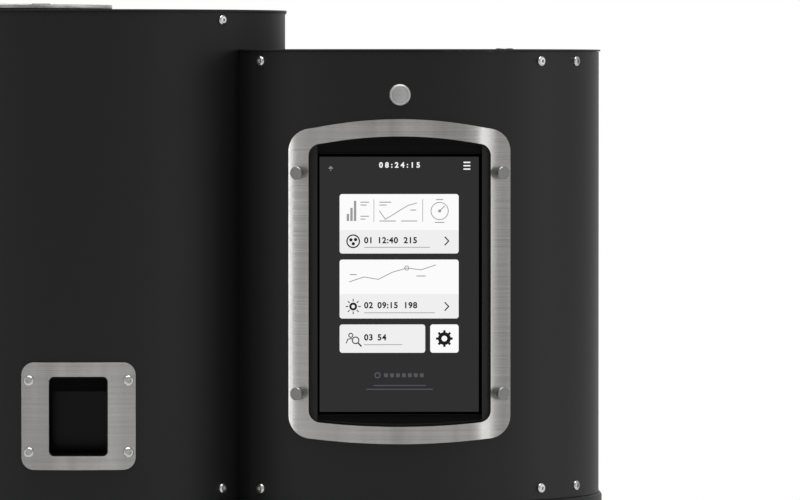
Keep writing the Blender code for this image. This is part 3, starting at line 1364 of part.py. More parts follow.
def build_cooling_tray():
    """The round pan that the hot beans drop into, with its pouring opening at the front."""
    inner = TRAY_RADIUS - TRAY_SHEET
    ledge = inner - SCREEN_LEDGE
    lip = TRAY_RADIUS + TRAY_LIP
    pan = (
        (0, TRAY_LOW + TRAY_SHEET),
        (inner, TRAY_LOW + TRAY_SHEET),
        (inner, LEDGE_TOP - TRAY_LIP_SHEET),
        (ledge, LEDGE_TOP - TRAY_LIP_SHEET),
        (ledge, LEDGE_TOP),
        (inner, LEDGE_TOP),
        (inner, TRAY_RIM),
        (lip, TRAY_RIM),
        (lip, TRAY_RIM - TRAY_LIP_SHEET),
        (TRAY_RADIUS, TRAY_RIM - TRAY_LIP_SHEET),
        (TRAY_RADIUS, TRAY_LOW),
        (0, TRAY_LOW),
    )
    centre = (ROASTER_X, TRAY_Y, 0)
    tray = turned("cooling_tray", pan, centre, finish="brushed_stainless", steps=ROUND_STEPS * 2)
    low, high = gate_limits()
    front = TRAY_Y - TRAY_RADIUS
    half = GATE_HALF + GATE_LAP
    notch_depth = math.sqrt(TRAY_RADIUS**2 - half**2) + CLEAR
    guide_side = half + RUN + GUIDE_WIDTH / 2
    swing = math.asin(guide_side / (TRAY_RADIUS + GUIDE_REACH / 2))
    for side in (-1, 1):
        guide = box(
            f"gate_guide_{side}",
            (-GUIDE_WIDTH / 2, -TRAY_RADIUS - GUIDE_REACH, low),
            (GUIDE_WIDTH / 2, TRAY_SHEET / 2 - TRAY_RADIUS, high),
        )
        turn = Matrix.Rotation(side * swing, 4, "Z")
        guide.data.transform(Matrix.Translation((ROASTER_X, TRAY_Y, 0)) @ turn)
        join(tray, guide)
    tongue_low = (ROASTER_X - GATE_HALF, front - TONGUE_REACH, low - RUN - TRAY_LIP_SHEET)
    tongue = box("pouring_tongue", tongue_low, (ROASTER_X + GATE_HALF, front + TONGUE_REACH / 2, low - RUN))
    tongue_limit = rod(
        "tongue_inner_limit",
        (ROASTER_X, TRAY_Y, low - OVERRUN),
        inner + TRAY_SHEET / 2,
        2 * OVERRUN,
        steps=ROUND_STEPS * 2,
    )
    cut(tongue, tongue_limit)
    join(tray, tongue)
    cut(
        tray,
        box(
            "pouring_opening",
            (ROASTER_X - GATE_HALF, front - OVERRUN, BEAN_FLOOR),
            (ROASTER_X + GATE_HALF, front + OVERRUN, BEAN_FLOOR + GATE_OPENING),
        ),
        box(
            "lip_notch",
            (ROASTER_X - half - RUN, front - OVERRUN, TRAY_RIM - TRAY_LIP_SHEET - CLEAR),
            (ROASTER_X + half + RUN, TRAY_Y - notch_depth, TRAY_RIM + OVERRUN),
        ),
        rod("tray_fan_hole", (ROASTER_X, FAN_Y, TRAY_LOW - OVERRUN), FAN_HOLE, 2 * OVERRUN, steps=ROUND_STEPS),
    )

    holes = [circle((0, 0), STIRRER_SHAFT_RADIUS + RUN, SMALL_STEPS)]
    for ring, count in SLOT_ROWS:
        for i in range(count):
            middle = 360 * i / count
            spread = math.degrees(SLOT_LENGTH / 2 / ring)
            outer = arc((0, 0), ring + SLOT_WIDTH / 2, middle - spread, middle + spread, 2)
            inside = arc((0, 0), ring - SLOT_WIDTH / 2, middle + spread, middle - spread, 2)
            holes.append(outer + inside)
    disc = circle((0, 0), inner - CLEAR, ROUND_STEPS * 2)
    middle = (ROASTER_X, TRAY_Y, BEAN_FLOOR - COOLING_SCREEN_SHEET / 2)
    flat("cooling_screen", disc, COOLING_SCREEN_SHEET, Matrix(), middle, "brushed_stainless", holes)


def build_gate():
    low, high = gate_limits()
    inner = TRAY_RADIUS + RUN
    half = GATE_HALF + GATE_LAP
    profile = ((inner + GATE_SHEET, high), (inner + GATE_SHEET, low), (inner, low), (inner, high))
    centre = (ROASTER_X, TRAY_Y, 0)
    gate = turned("cooling_gate", profile, centre, finish="brushed_stainless", steps=ROUND_STEPS * 2)
    front = TRAY_Y - inner - GATE_SHEET
    limit_low = (ROASTER_X - half, front - OVERRUN, low - OVERRUN)
    keep_inside(gate, box("gate_sides", limit_low, (ROASTER_X + half, TRAY_Y, high + OVERRUN)))
    middle = (low + high) / 2
    knob = (
        (0, KNOB_LENGTH),
        (KNOB_RADIUS - KNOB_NECK / 2, KNOB_LENGTH),
        (KNOB_RADIUS, KNOB_LENGTH - KNOB_NECK / 2),
        (KNOB_RADIUS, KNOB_NECK_LENGTH + KNOB_NECK / 2),
        (KNOB_NECK, KNOB_NECK_LENGTH),
        (KNOB_NECK, -GATE_SHEET / 2),
        (0, -GATE_SHEET / 2),
    )
    place = (ROASTER_X, front, middle)
    join(gate, turned("gate_knob", knob, place, UPRIGHT, steps=SMALL_STEPS))
    pivot(gate, "cooling_gate_slide", place)


def build_stirrer():
    motor_low = TRAY_LOW + TRAY_SHEET + CLEAR
    motor_high = motor_low + STIRRER_MOTOR_HEIGHT
    place = (ROASTER_X, TRAY_Y, motor_low)
    rod(
        "stirrer_motor",
        place,
        STIRRER_MOTOR_RADIUS,
        STIRRER_MOTOR_HEIGHT,
        finish="motor_black",
        steps=ROUND_STEPS,
    )
    hub_low = BEAN_FLOOR + STIRRER_RISE / 2
    hub = rod(
        "stirrer",
        (ROASTER_X, TRAY_Y, hub_low),
        STIRRER_HUB_RADIUS,
        STIRRER_HUB_HEIGHT,
        finish="brushed_stainless",
        steps=ROUND_STEPS,
    )
    start = (ROASTER_X, TRAY_Y, motor_high + CLEAR)
    length = hub_low + STIRRER_HUB_HEIGHT / 2 - motor_high - CLEAR
    join(hub, rod("stirrer_shaft", start, STIRRER_SHAFT_RADIUS, length))
    blade_z = BEAN_FLOOR + STIRRER_RISE + STIRRER_BLADE_HEIGHT / 2
    for i in range(STIRRER_ARMS):
        arm = box(
            f"stirrer_arm_{i + 1}",
            (STIRRER_HUB_RADIUS / 2, -STIRRER_BLADE_SHEET / 2, -STIRRER_BLADE_HEIGHT / 2),
            (STIRRER_REACH, STIRRER_BLADE_SHEET / 2, STIRRER_BLADE_HEIGHT / 2),
        )
        tilt = Matrix.Rotation(STIRRER_BLADE_TILT, 4, "X")
        turn = Matrix.Rotation(2 * math.pi * i / STIRRER_ARMS, 4, "Z")
        arm.data.transform(Matrix.Translation((ROASTER_X, TRAY_Y, blade_z)) @ turn @ tilt)
        join(hub, arm)
    pivot(hub, "stirrer_spin", (ROASTER_X, TRAY_Y, motor_high))


def build_cooling_fan():
    high = BAY_LOW - CLEAR
    low = high - FAN_DUCT_HEIGHT
    inner = FAN_DUCT_RADIUS - FAN_DUCT_SHEET
    duct = (
        (FAN_FLANGE_RADIUS, high),
        (FAN_FLANGE_RADIUS, high - FAN_FLANGE_SHEET),
        (FAN_DUCT_RADIUS, high - FAN_FLANGE_SHEET),
        (FAN_DUCT_RADIUS, low),
        (inner, low),
        (inner, high),
    )
    centre = (ROASTER_X, FAN_Y, 0)
    duct = turned("cooling_fan_duct", duct, centre, finish="moulded_black")
    motor_length = FAN_STRUT_SHEET + FAN_MOTOR_HEIGHT
    seat = rod("fan_motor", (ROASTER_X, FAN_Y, low), FAN_MOTOR_RADIUS, motor_length, steps=SMALL_STEPS)
    join(duct, seat)
    for i in range(FAN_STRUTS):
        strut = box(
            f"fan_strut_{i + 1}",
            (FAN_MOTOR_RADIUS / 2, -FAN_STRUT_WIDTH / 2, low),
            (inner + FAN_DUCT_SHEET / 2, FAN_STRUT_WIDTH / 2, low + FAN_STRUT_SHEET),
        )
        turn = Matrix.Rotation(2 * math.pi * i / FAN_STRUTS, 4, "Z")
        strut.data.transform(Matrix.Translation((ROASTER_X, FAN_Y, 0)) @ turn)
        join(duct, strut)
    hub_low = low + motor_length + RUN
    place = (ROASTER_X, FAN_Y, hub_low)
    fan = rod("cooling_fan", place, FAN_HUB_RADIUS, FAN_HUB_HEIGHT, finish="moulded_black", steps=SMALL_STEPS)
    blade_low = hub_low + (FAN_HUB_HEIGHT - FAN_BLADE_RISE) / 2
    for i in range(FAN_BLADES):
        turn = Matrix.Rotation(2 * math.pi * i / FAN_BLADES, 4, "Z")
        tip = inner - FAN_TIP_GAP
        root = FAN_HUB_RADIUS - FAN_TIP_GAP
        place = (ROASTER_X, FAN_Y, blade_low)
        name = f"fan_blade_{i + 1}"
        join(
            fan,
            helicoid(name, root, tip, FAN_BLADE_RISE, FAN_BLADE_SWEEP, FAN_BLADE_SHEET, FAN_BLADE_STEPS, turn, place),
        )
    pivot(fan, "cooling_fan_spin", (ROASTER_X, FAN_Y, hub_low))


def build_exhaust():
    """The duct from the drum, the cyclone that drops the chaff, the blower on it and the outlet collar."""
    top, wall = CYCLONE_TOP, CYCLONE_SHEET
    cone_high, cone_low = BASE_TOP + CYCLONE_CONE_HIGH, BASE_TOP + CYCLONE_CONE_LOW
    tail = BASE_TOP - CYCLONE_TAIL
    outer, outlet = CYCLONE_RADIUS, CYCLONE_OUTLET
    body = (
        (outer, top),
        (outer, cone_high),
        (outlet, cone_low),
        (outlet, tail),
        (outlet - wall, tail),
        (outlet - wall, cone_low),
        (outer - wall, cone_high),
        (outer - wall, top - wall),
        (BLOWER_EYE, top - wall),
        (BLOWER_EYE, top),
    )
    cyclone = turned("chaff_cyclone", body, (CYCLONE_X, CYCLONE_Y, 0), finish="zinc_steel")
    reach = CYCLONE_RADIUS * 2
    place = (CYCLONE_X - reach, DUCT_Y, DUCT_Z)
    inlet_radius = DUCT_RADIUS - DUCT_SHEET - CLEAR
    cut(cyclone, rod("cyclone_inlet", place, inlet_radius, reach, ALONG_X, steps=SMALL_STEPS))

    start = REAR_PLATE_Y + REAR_PLATE_SHEET + CLEAR
    turn_start = start + DUCT_LEAD
    bend = DUCT_Y - turn_start

    def route(lead):
        points = [(ROASTER_X, start - lead, DUCT_Z)]
        for i in range(DUCT_TURN_STEPS + 1):
            turn = math.pi / 2 * i / DUCT_TURN_STEPS
            x = ROASTER_X + bend * (1 - math.cos(turn))
            points.append((x, turn_start + bend * math.sin(turn), DUCT_Z))
        points.append((CYCLONE_X, DUCT_Y, DUCT_Z))
        return points

    duct = tube("exhaust_duct", route(0), DUCT_RADIUS, "zinc_steel", 4)
    bore = tube("duct_bore", route(OVERRUN), DUCT_RADIUS - DUCT_SHEET, None, 4)
    place = (CYCLONE_X, CYCLONE_Y, cone_high - OVERRUN)
    around = rod("around_cyclone", place, outer + CLEAR, top - cone_high + 2 * OVERRUN, steps=ROUND_STEPS)
    cut(duct, bore, around)

    wall = BLOWER_SHEET
    low, high = BLOWER_LOW, BLOWER_HIGH
    housing = scroll("blower_housing", 0, low, high, BODY_BACK - CLEAR, "cast_aluminium")
    hollow = scroll("blower_hollow", -wall, low + wall, high - wall, BODY_BACK + OVERRUN)
    eye = rod("blower_eye", (CYCLONE_X, CYCLONE_Y, BLOWER_LOW - OVERRUN), BLOWER_EYE, OVERRUN + BLOWER_SHEET * 2)
    shaft_hole = rod(
        "blower_shaft_hole",
        (CYCLONE_X, CYCLONE_Y, BLOWER_HIGH - OVERRUN),
        BLOWER_SHAFT_RADIUS + RUN,
        2 * OVERRUN,
    )
    cut(housing, hollow, eye, shaft_hole)

    disc_low = BLOWER_LOW + BLOWER_SHEET + IMPELLER_FLOOR_GAP + IMPELLER_HEIGHT - IMPELLER_DISC
    wheel = (
        (0, disc_low + IMPELLER_DISC),
        (IMPELLER_RADIUS, disc_low + IMPELLER_DISC),
        (IMPELLER_RADIUS, disc_low),
        (0, disc_low),
    )
    wheel = turned("blower_impeller", wheel, (CYCLONE_X, CYCLONE_Y, 0), finish="moulded_black")
    shaft_length = BLOWER_HIGH - disc_low - IMPELLER_DISC / 2
    place = (CYCLONE_X, CYCLONE_Y, disc_low + IMPELLER_DISC / 2)
    join(wheel, rod("blower_shaft", place, BLOWER_SHAFT_RADIUS, shaft_length))
    blade_middle = (IMPELLER_RADIUS + IMPELLER_INNER) / 2
    blade_half = (IMPELLER_RADIUS - IMPELLER_INNER) / 2
    sheet = IMPELLER_BLADE_SHEET
    for i in range(IMPELLER_BLADES):
        blade = box(
            f"impeller_blade_{i + 1}",
            (-blade_half, -sheet / 2, disc_low + IMPELLER_DISC - IMPELLER_HEIGHT),
            (blade_half, sheet / 2, disc_low + IMPELLER_DISC / 2),
        )
        turn = Matrix.Rotation(2 * math.pi * i / IMPELLER_BLADES, 4, "Z")
        lean = Matrix.Rotation(IMPELLER_LEAN, 4, "Z")
        reach = Matrix.Translation((blade_middle, 0, 0))
        blade.data.transform(Matrix.Translation((CYCLONE_X, CYCLONE_Y, 0)) @ turn @ reach @ lean)
        join(wheel, blade)
    pivot(wheel, "blower_spin", (CYCLONE_X, CYCLONE_Y, disc_low))
    place = (CYCLONE_X, CYCLONE_Y, BLOWER_HIGH + CLEAR)
    rod("blower_motor", place, BLOWER_MOTOR_RADIUS, BLOWER_MOTOR_HEIGHT, finish="motor_black", steps=ROUND_STEPS)

    back = PANEL_BACK + CLEAR
    inner = COLLAR_RADIUS - COLLAR_SHEET
    end = COLLAR_FLANGE_SHEET + COLLAR_LENGTH
    collar = (
        (COLLAR_RADIUS, end),
        (COLLAR_RADIUS, COLLAR_FLANGE_SHEET),
        (COLLAR_RADIUS + COLLAR_FLANGE, COLLAR_FLANGE_SHEET),
        (COLLAR_RADIUS + COLLAR_FLANGE, 0),
        (inner, 0),
        (inner, end),
    )
    turned("exhaust_collar", collar, (COLLAR_X, back, COLLAR_Z), ALONG_Y, "zinc_steel")


def scroll(name, grow, low, high, back, finish=None):
    """The blower's snail shape in plan: a spiral that opens to a straight outlet at the back."""
    tongue = BLOWER_TONGUE - grow
    start = math.acos(tongue / (BLOWER_START_RADIUS + grow))
    points = []
    for i in range(BLOWER_STEPS + 1):
        share = i / BLOWER_STEPS
        turn = start + (2 * math.pi - start) * share
        radius = BLOWER_START_RADIUS + (BLOWER_END_RADIUS - BLOWER_START_RADIUS) * share + grow
        points.append((CYCLONE_X + radius * math.cos(turn), CYCLONE_Y + radius * math.sin(turn)))
    points += [(points[-1][0], back), (CYCLONE_X + tongue, back)]
    return slab(name, points, low, high, finish)


def build_drawer():
    """The chaff drawer, its front bent to the base, and the shelf that it runs on."""
    low, high = DRAWER_LOW, DRAWER_LOW + DRAWER_HEIGHT
    wall = DRAWER_SHEET
    inside = BASE_RADIUS - BASE_SHEET - CLEAR
    pan_low = (CONTROL_X - DRAWER_HALF, -BASE_RADIUS, low)
    pan = box("chaff_drawer", pan_low, (CONTROL_X + DRAWER_HALF, DRAWER_BACK, high), "zinc_steel")
    hollow = box(
        "drawer_hollow",
        (CONTROL_X - DRAWER_HALF + wall, -BASE_RADIUS, low + wall),
        (CONTROL_X + DRAWER_HALF - wall, DRAWER_BACK - wall, high + OVERRUN),
    )

    def round_front(name, radius):
        behind = DRAWER_BACK + OVERRUN
        outline = arc((CONTROL_X, 0), radius, 180, 360, LOBE_STEPS)
        outline += [(CONTROL_X + radius, behind), (CONTROL_X - radius, behind)]
        return slab(name, outline, low - OVERRUN, high + 2 * OVERRUN)

    keep_inside(pan, round_front("drawer_round_front", inside))
    keep_inside(hollow, round_front("drawer_round_hollow", inside - wall))
    cut(pan, hollow)

    front_low, front_high = DRAWER_FRONT_LOW, DRAWER_FRONT_HIGH
    inner = BASE_RADIUS - BASE_SHEET
    front = front_band("chaff_drawer_front", CONTROL_X, inner, BASE_SHEET, front_low, front_high, "powder_coat")
    limit_low = (CONTROL_X - DRAWER_FRONT_HALF, -BASE_RADIUS - OVERRUN, front_low - OVERRUN)
    limit_high = (CONTROL_X + DRAWER_FRONT_HALF, 0, front_high + OVERRUN)
    keep_inside(front, box("drawer_front_sides", limit_low, limit_high))

    face = math.sqrt(BASE_RADIUS**2 - HANDLE_HALF**2)
    out = -face - HANDLE_REACH
    middle = (low + high) / 2
    points = [(CONTROL_X - HANDLE_HALF, BASE_SHEET / 2 - face, middle)]
    for side, turns in ((-1, (180, 270)), (1, (270, 360))):
        centre = (CONTROL_X + side * (HANDLE_HALF - HANDLE_BEND), out + HANDLE_BEND)
        points += [(x, y, middle) for x, y in arc(centre, HANDLE_BEND, *turns, 5)]
    points.append((CONTROL_X + HANDLE_HALF, BASE_SHEET / 2 - face, middle))
    handle = tube("chaff_drawer_handle", points, HANDLE_ROD, "brushed_stainless")
    seat = OVERRUN + BASE_SHEET + CLEAR
    rim = front_band("handle_seat", CONTROL_X, inner - OVERRUN, seat, front_low, front_high)
    cut(handle, rim)
    place = (CONTROL_X, -BASE_RADIUS, middle)
    for piece in (pan, front, handle):
        pivot(piece, "chaff_drawer_slide", place)

    shelf_high = DRAWER_LOW - CLEAR
    half = SHELF_HALF
    back = DRAWER_BACK + OVERRUN
    floor = FOOT_HEIGHT + FLOOR_SHEET / 2
    shelf_low = (CONTROL_X - half, SHELF_FRONT, floor)
    shelf = box("drawer_shelf", shelf_low, (CONTROL_X + half, back, shelf_high + SHELF_GUIDE))
    under = box(
        "under_shelf",
        (CONTROL_X - half + SHELF_SHEET, SHELF_FRONT - OVERRUN, floor - OVERRUN),
        (CONTROL_X + half - SHELF_SHEET, back + OVERRUN, shelf_high - SHELF_SHEET),
    )
    guide = DRAWER_HALF + RUN
    over = box(
        "over_shelf",
        (CONTROL_X - guide, SHELF_FRONT - OVERRUN, shelf_high),
        (CONTROL_X + guide, back + OVERRUN, shelf_high + SHELF_GUIDE + OVERRUN),
    )
    cut(shelf, under, over)
    join(bpy.data.objects["base_floor"], shelf)


def build_supply():
    """The mains supply on the deck and the inlet in the back of the base."""
    back = SUPPLY_Y + SUPPLY_DEPTH / 2
    front = back - SUPPLY_DEPTH
    half = SUPPLY_WIDTH / 2
    low = (CONTROL_X - half, front, DECK)
    supply = box("power_supply", low, (CONTROL_X + half, back, DECK + SUPPLY_HEIGHT), "zinc_steel")
    foot = box(
        "supply_foot",
        (CONTROL_X - half - SUPPLY_FOOT, front, DECK),
        (CONTROL_X + half + SUPPLY_FOOT, back, DECK + SUPPLY_FOOT_SHEET),
    )
    join(supply, foot)

    wall = BODY_BACK + BASE_LEDGE
    flange_front = wall + CLEAR
    flange_back = flange_front + SOCKET_FLANGE_SHEET
    z = SOCKET_Z
    x = SOCKET_X
    width, height = SOCKET_WIDTH / 2, SOCKET_HEIGHT / 2
    flange = SOCKET_FLANGE
    socket = box(
        "mains_inlet",
        (x - width - flange, flange_front, z - height - flange / 2),
        (x + width + flange, flange_back, z + height + flange / 2),
        "moulded_black",
    )
    body_low = (x - width, flange_back - SOCKET_DEPTH, z - height)
    body = box("inlet_body", body_low, (x + width, flange_back - CLEAR, z + height))
    join(socket, body)
    recess = SOCKET_WALL
    cut(
        socket,
        box(
            "inlet_recess",
            (x - width + recess, flange_back - SOCKET_RECESS, z - height + recess),
            (x + width - recess, flange_back + OVERRUN, z + height - recess),
        ),
    )


def main():
    clear_scene()
    empty("machine", (0, MACHINE_Y, 0))
    build_base()
    build_towers()
    build_rear_panel()
    build_window()
    build_screen()
    build_button()
    build_inlet()
    build_funnel()
    build_drum()
    build_drive()
    build_heater()
    build_discharge()
    build_cooling_bay()
    build_cooling_tray()
    build_gate()
    build_stirrer()
    build_cooling_fan()
    build_exhaust()
    build_drawer()
    build_supply()


main()
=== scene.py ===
"""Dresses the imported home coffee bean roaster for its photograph, laid out as a Blender add-on."""

import json
import math

import bmesh
import bpy
from bpy.props import FloatProperty, FloatVectorProperty, PointerProperty
from mathutils import Matrix, Vector


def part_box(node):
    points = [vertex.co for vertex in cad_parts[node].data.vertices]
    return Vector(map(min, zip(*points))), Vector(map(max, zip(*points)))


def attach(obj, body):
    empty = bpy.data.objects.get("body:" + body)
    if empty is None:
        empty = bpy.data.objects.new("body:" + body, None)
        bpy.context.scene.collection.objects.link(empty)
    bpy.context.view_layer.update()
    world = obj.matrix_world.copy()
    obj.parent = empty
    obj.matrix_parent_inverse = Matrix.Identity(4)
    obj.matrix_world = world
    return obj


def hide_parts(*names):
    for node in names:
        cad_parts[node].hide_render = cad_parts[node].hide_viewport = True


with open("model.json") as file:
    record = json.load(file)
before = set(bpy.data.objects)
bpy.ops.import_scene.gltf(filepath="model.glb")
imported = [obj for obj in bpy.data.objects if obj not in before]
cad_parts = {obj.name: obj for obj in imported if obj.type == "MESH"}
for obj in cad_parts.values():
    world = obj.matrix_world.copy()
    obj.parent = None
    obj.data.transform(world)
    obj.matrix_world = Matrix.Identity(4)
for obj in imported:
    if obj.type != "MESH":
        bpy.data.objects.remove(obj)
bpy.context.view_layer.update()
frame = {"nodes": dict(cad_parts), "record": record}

bl_info = {
    "name": "Coffee roaster dressing",
    "version": (1, 0, 0),
    "blender": (4, 5, 0),
    "location": "View3D > Sidebar > Roaster",
    "description": "Models the visible pieces of a home coffee roaster over its packed CAD nodes",
    "category": "Object",
}

def corners(box):
    """A box's low and high corner."""
    return [Vector(corner) for corner in box]


def centre_of(box):
    """The middle of a box."""
    low, high = corners(box)
    return (low + high) / 2


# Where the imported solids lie, in metres
TOWER_LOW, TOWER_HIGH = corners(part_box("roaster_tower_shell"))
RADIUS = (TOWER_HIGH.x - TOWER_LOW.x) / 2
AXIS_Y = TOWER_LOW.y + RADIUS
ROASTER_X = (TOWER_HIGH.x + TOWER_LOW.x) / 2
CONTROL_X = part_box("control_tower_shell")[1][0] - RADIUS
BODY_BACK = TOWER_HIGH.y
DECK = TOWER_LOW.z
SHELL_TOP = {"roaster": TOWER_HIGH.z, "control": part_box("control_tower_shell")[1][2]}
AXIS_X = {"roaster": ROASTER_X, "control": CONTROL_X}
BASE_LOW, BASE_HIGH = corners(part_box("base_shell"))
# The base's sheet lies this far inside its solid, where the photograph shows the ledge
BASE_TRIM = 0.0009
BASE_RADIUS = BASE_HIGH.x - CONTROL_X - BASE_TRIM

# Cutters start at FRONT, before everything, and reach OVER past what they cut
FRONT = AXIS_Y - 2 * RADIUS
OVER = 0.010
ABOVE = 1
# The gap between neighbouring sheets, and under a plate that lies on one
SEAM = 0.0003
# Places closer than this are one place
TINY = 0.00002
# Sides of a cylinder whose highlight shows every facet
FINE = 512
# Corner radius of the window's opening and tunnel
WINDOW_CORNER = 0.0043
# Thickness of the window's and of the screen's bright plates
WINDOW_PLATE = 0.0025
BEZEL_PLATE = 0.0030
# Heights of the vent slots in the base and of the louvred slots in the rear panel
BASE_SLOTS = [BASE_LOW.z + 0.060 + 0.014 * i for i in range(6)]
BASE_SLOT_HALF = 0.065
BASE_SLOT_HEIGHT = 0.005
PANEL_SLOTS = [0.4133 + 0.016 * i for i in range(5)]
PANEL_SLOT_HALF = 0.060
# Outlines like the bezel's: how far each is grown at its sides, and at its top and bottom, and its corners
BEZEL_OUTLINE = (-0.0004, 0, 0.019)
BEZEL_OPENING = (-0.0172, -0.0144, 0.010)
SHEET_OPENING = (-0.0157, -0.0129, 0.010)
STRIPS_OUTLINE = (-0.0176, -0.0148, 0.0096)
# How far from the control tower's middle the bezel's round heads stand, and how high
STUD_REACH = 0.0838
STUD_LEVELS = (0.6267, 0.4414)


class RoasterSizes(bpy.types.PropertyGroup):
    """Sizes of the visible pieces that a user may want to change."""

    sheet: FloatProperty(
        name="Sheet", description="Thickness of the towers' sheet", default=0.0015, unit="LENGTH"
    )
    rear_corner: FloatProperty(
        name="Rear corner", description="Radius of the towers' rear corners", default=0.040, unit="LENGTH"
    )
    base_edge: FloatProperty(
        name="Base edge", description="Rounding of the base's upper edge", default=0.0025, unit="LENGTH"
    )
    plate_edge: FloatProperty(
        name="Plate edge", description="Rounding of bright plates' edges", default=0.0004, unit="LENGTH"
    )
    screw_radius: FloatProperty(
        name="Screw radius", description="Radius of a tower screw's head", default=0.0043, unit="LENGTH"
    )
    screw_height: FloatProperty(
        name="Screw height", description="Height of a tower screw's head", default=0.0025, unit="LENGTH"
    )
    stud_radius: FloatProperty(
        name="Stud radius", description="Radius of the bezel's round heads", default=0.0054, unit="LENGTH"
    )
    stud_height: FloatProperty(
        name="Stud height", description="Height of the bezel's round heads", default=0.0076, unit="LENGTH"
    )


class RoasterColours(bpy.types.PropertyGroup):
    """Colours of the finishes, as linear values."""

    coat: FloatVectorProperty(
        name="Powder coat",
        description="Colour of the coated sheet",
        subtype="COLOR",
        default=(0.0033, 0.0033, 0.0035),
    )


def linear(code):
    """The linear colour of an sRGB hex value, with full alpha."""
    channels = [int(code[i : i + 2], 16) / 255 for i in (1, 3, 5)]
    return [c / 12.92 if c <= 0.04045 else ((c + 0.055) / 1.055) ** 2.4 for c in channels] + [1]


def add_node(tree, kind, settings=None, inputs=None, links=None):
    """Adds a shader node with its settings, its plain input values and its links."""
    made = tree.nodes.new(kind)
    for name, value in (settings or {}).items():
        setattr(made, name, value)
    for name, value in (inputs or {}).items():
        made.inputs[name].default_value = value
    for name, source in (links or {}).items():
        tree.links.new(source, made.inputs[name])
    return made


def new_material(name, colour, metallic, roughness, **more):
    """A Principled material. The extra values are the shader's own sockets."""
    made = bpy.data.materials.new(name)
    made.use_nodes = True
    shader = made.node_tree.nodes["Principled BSDF"]
    values = {"Base Color": colour, "Metallic": metallic, "Roughness": roughness, **more}
    for socket, value in values.items():
        shader.inputs[socket].default_value = value
    made.diffuse_color = colour
    return made


def powder_coat(name, colour):
    """Satin black polyester powder on steel sheet, sprayed and baked: a fine orange peel that softens every
    reflection. The real peel of 0.4 mm is drawn 0.8 mm wide so that it shows."""
    made = new_material(name, colour, 0, 0.46, **{"IOR": 1.42})
    tree = made.node_tree
    shader = tree.nodes["Principled BSDF"]
    place = add_node(tree, "ShaderNodeTexCoord")
    peel = add_node(
        tree,
        "ShaderNodeTexNoise",
        inputs={"Scale": 1 / 0.0008, "Detail": 1.0},
        links={"Vector": place.outputs["Object"]},
    )
    bump = add_node(
        tree,
        "ShaderNodeBump",
        inputs={"Strength": 0.25, "Distance": 0.00004},
        links={"Height": peel.outputs["Fac"]},
    )
    tree.links.new(bump.outputs["Normal"], shader.inputs["Normal"])
    return made


def brushed_steel(name, code, roughness, stroke, line, wear=0.08, band=0.022, axis="Z"):
    """Stainless sheet drawn under an abrasive belt: level lines that stretch its highlights upright, over
    faint upright stripes of painted reflection, darker colour that stands in for the mirrored surroundings'
    light and dark.
    A real line is 0.05 mm wide, and is drawn wider so that it shows.
    Stroke and line are a line's length and width, and the axis is Y for a piece that lies flat."""
    stretch = {"Anisotropic": 0.85, "Anisotropic Rotation": 0.25}
    made = new_material(name, linear(code), 1, roughness, **stretch)
    tree = made.node_tree
    shader = tree.nodes["Principled BSDF"]
    flat = axis == "Y"
    reflection_band_length = 0.300
    duller, brighter = roughness + wear / 2, roughness - wear / 2
    place = add_node(tree, "ShaderNodeTexCoord")
    turn = add_node(
        tree,
        "ShaderNodeMapping",
        inputs={"Scale": (1 / stroke, 1 / line if flat else 1 / stroke, 1 / line)},
        links={"Vector": place.outputs["Object"]},
    )
    lines = add_node(
        tree,
        "ShaderNodeTexNoise",
        inputs={"Scale": 1.0, "Detail": 1.5},
        links={"Vector": turn.outputs["Vector"]},
    )
    shade = add_node(
        tree,
        "ShaderNodeMapRange",
        inputs={"From Min": 0.3, "From Max": 0.7, "To Min": brighter, "To Max": duller},
        links={"Value": lines.outputs["Fac"]},
    )
    tree.links.new(shade.outputs["Result"], shader.inputs["Roughness"])
    tint = add_node(
        tree,
        "ShaderNodeMapRange",
        inputs={"From Min": 0.25, "From Max": 0.75, "To Min": 0.88, "To Max": 1.0},
        links={"Value": lines.outputs["Fac"]},
    )
    stretched = add_node(
        tree,
        "ShaderNodeMapping",
        inputs={"Scale": (1 / band, 1 / reflection_band_length if flat else 1 / band, 1 / reflection_band_length)},
        links={"Vector": place.outputs["Object"]},
    )
    painted_reflection_bands = add_node(
        tree,
        "ShaderNodeTexNoise",
        inputs={"Scale": 1.0, "Detail": 2.0},
        links={"Vector": stretched.outputs["Vector"]},
    )
    # Painted reflection: upright stripes darken the colour by up to 28 percent, for the light and dark of the
    # mirrored surroundings
    rolled = add_node(
        tree,
        "ShaderNodeMapRange",
        inputs={"From Min": 0.3, "From Max": 0.7, "To Min": 0.72, "To Max": 1.0},
        links={"Value": painted_reflection_bands.outputs["Fac"]},
    )
    both = add_node(
        tree,
        "ShaderNodeMath",
        {"operation": "MULTIPLY"},
        links={0: tint.outputs["Result"], 1: rolled.outputs["Result"]},
    )
    ground = add_node(
        tree,
        "ShaderNodeMix",
        {"data_type": "RGBA", "blend_type": "MULTIPLY"},
        {"Factor": 1.0, "A": linear(code)},
        {"B": both.outputs[0]},
    )
    tree.links.new(ground.outputs["Result"], shader.inputs["Base Color"])
    level = add_node(tree, "ShaderNodeTangent", {"direction_type": "RADIAL", "axis": axis})
    tree.links.new(level.outputs["Tangent"], shader.inputs["Tangent"])
    bump = add_node(
        tree,
        "ShaderNodeBump",
        inputs={"Strength": 0.05, "Distance": 0.00003},
        links={"Height": lines.outputs["Fac"]},
    )
    tree.links.new(bump.outputs["Normal"], shader.inputs["Normal"])
    return made


def lit(name, code):
    """A colour that the display gives off by itself, at its own value."""
    made = new_material(name, (0, 0, 0, 1), 0, 0.5, **{"Specular IOR Level": 0.0})
    shader = made.node_tree.nodes["Principled BSDF"]
    shader.inputs["Emission Color"].default_value = linear(code)
    shader.inputs["Emission Strength"].default_value = 1.0
    return made


FINISHES = {}

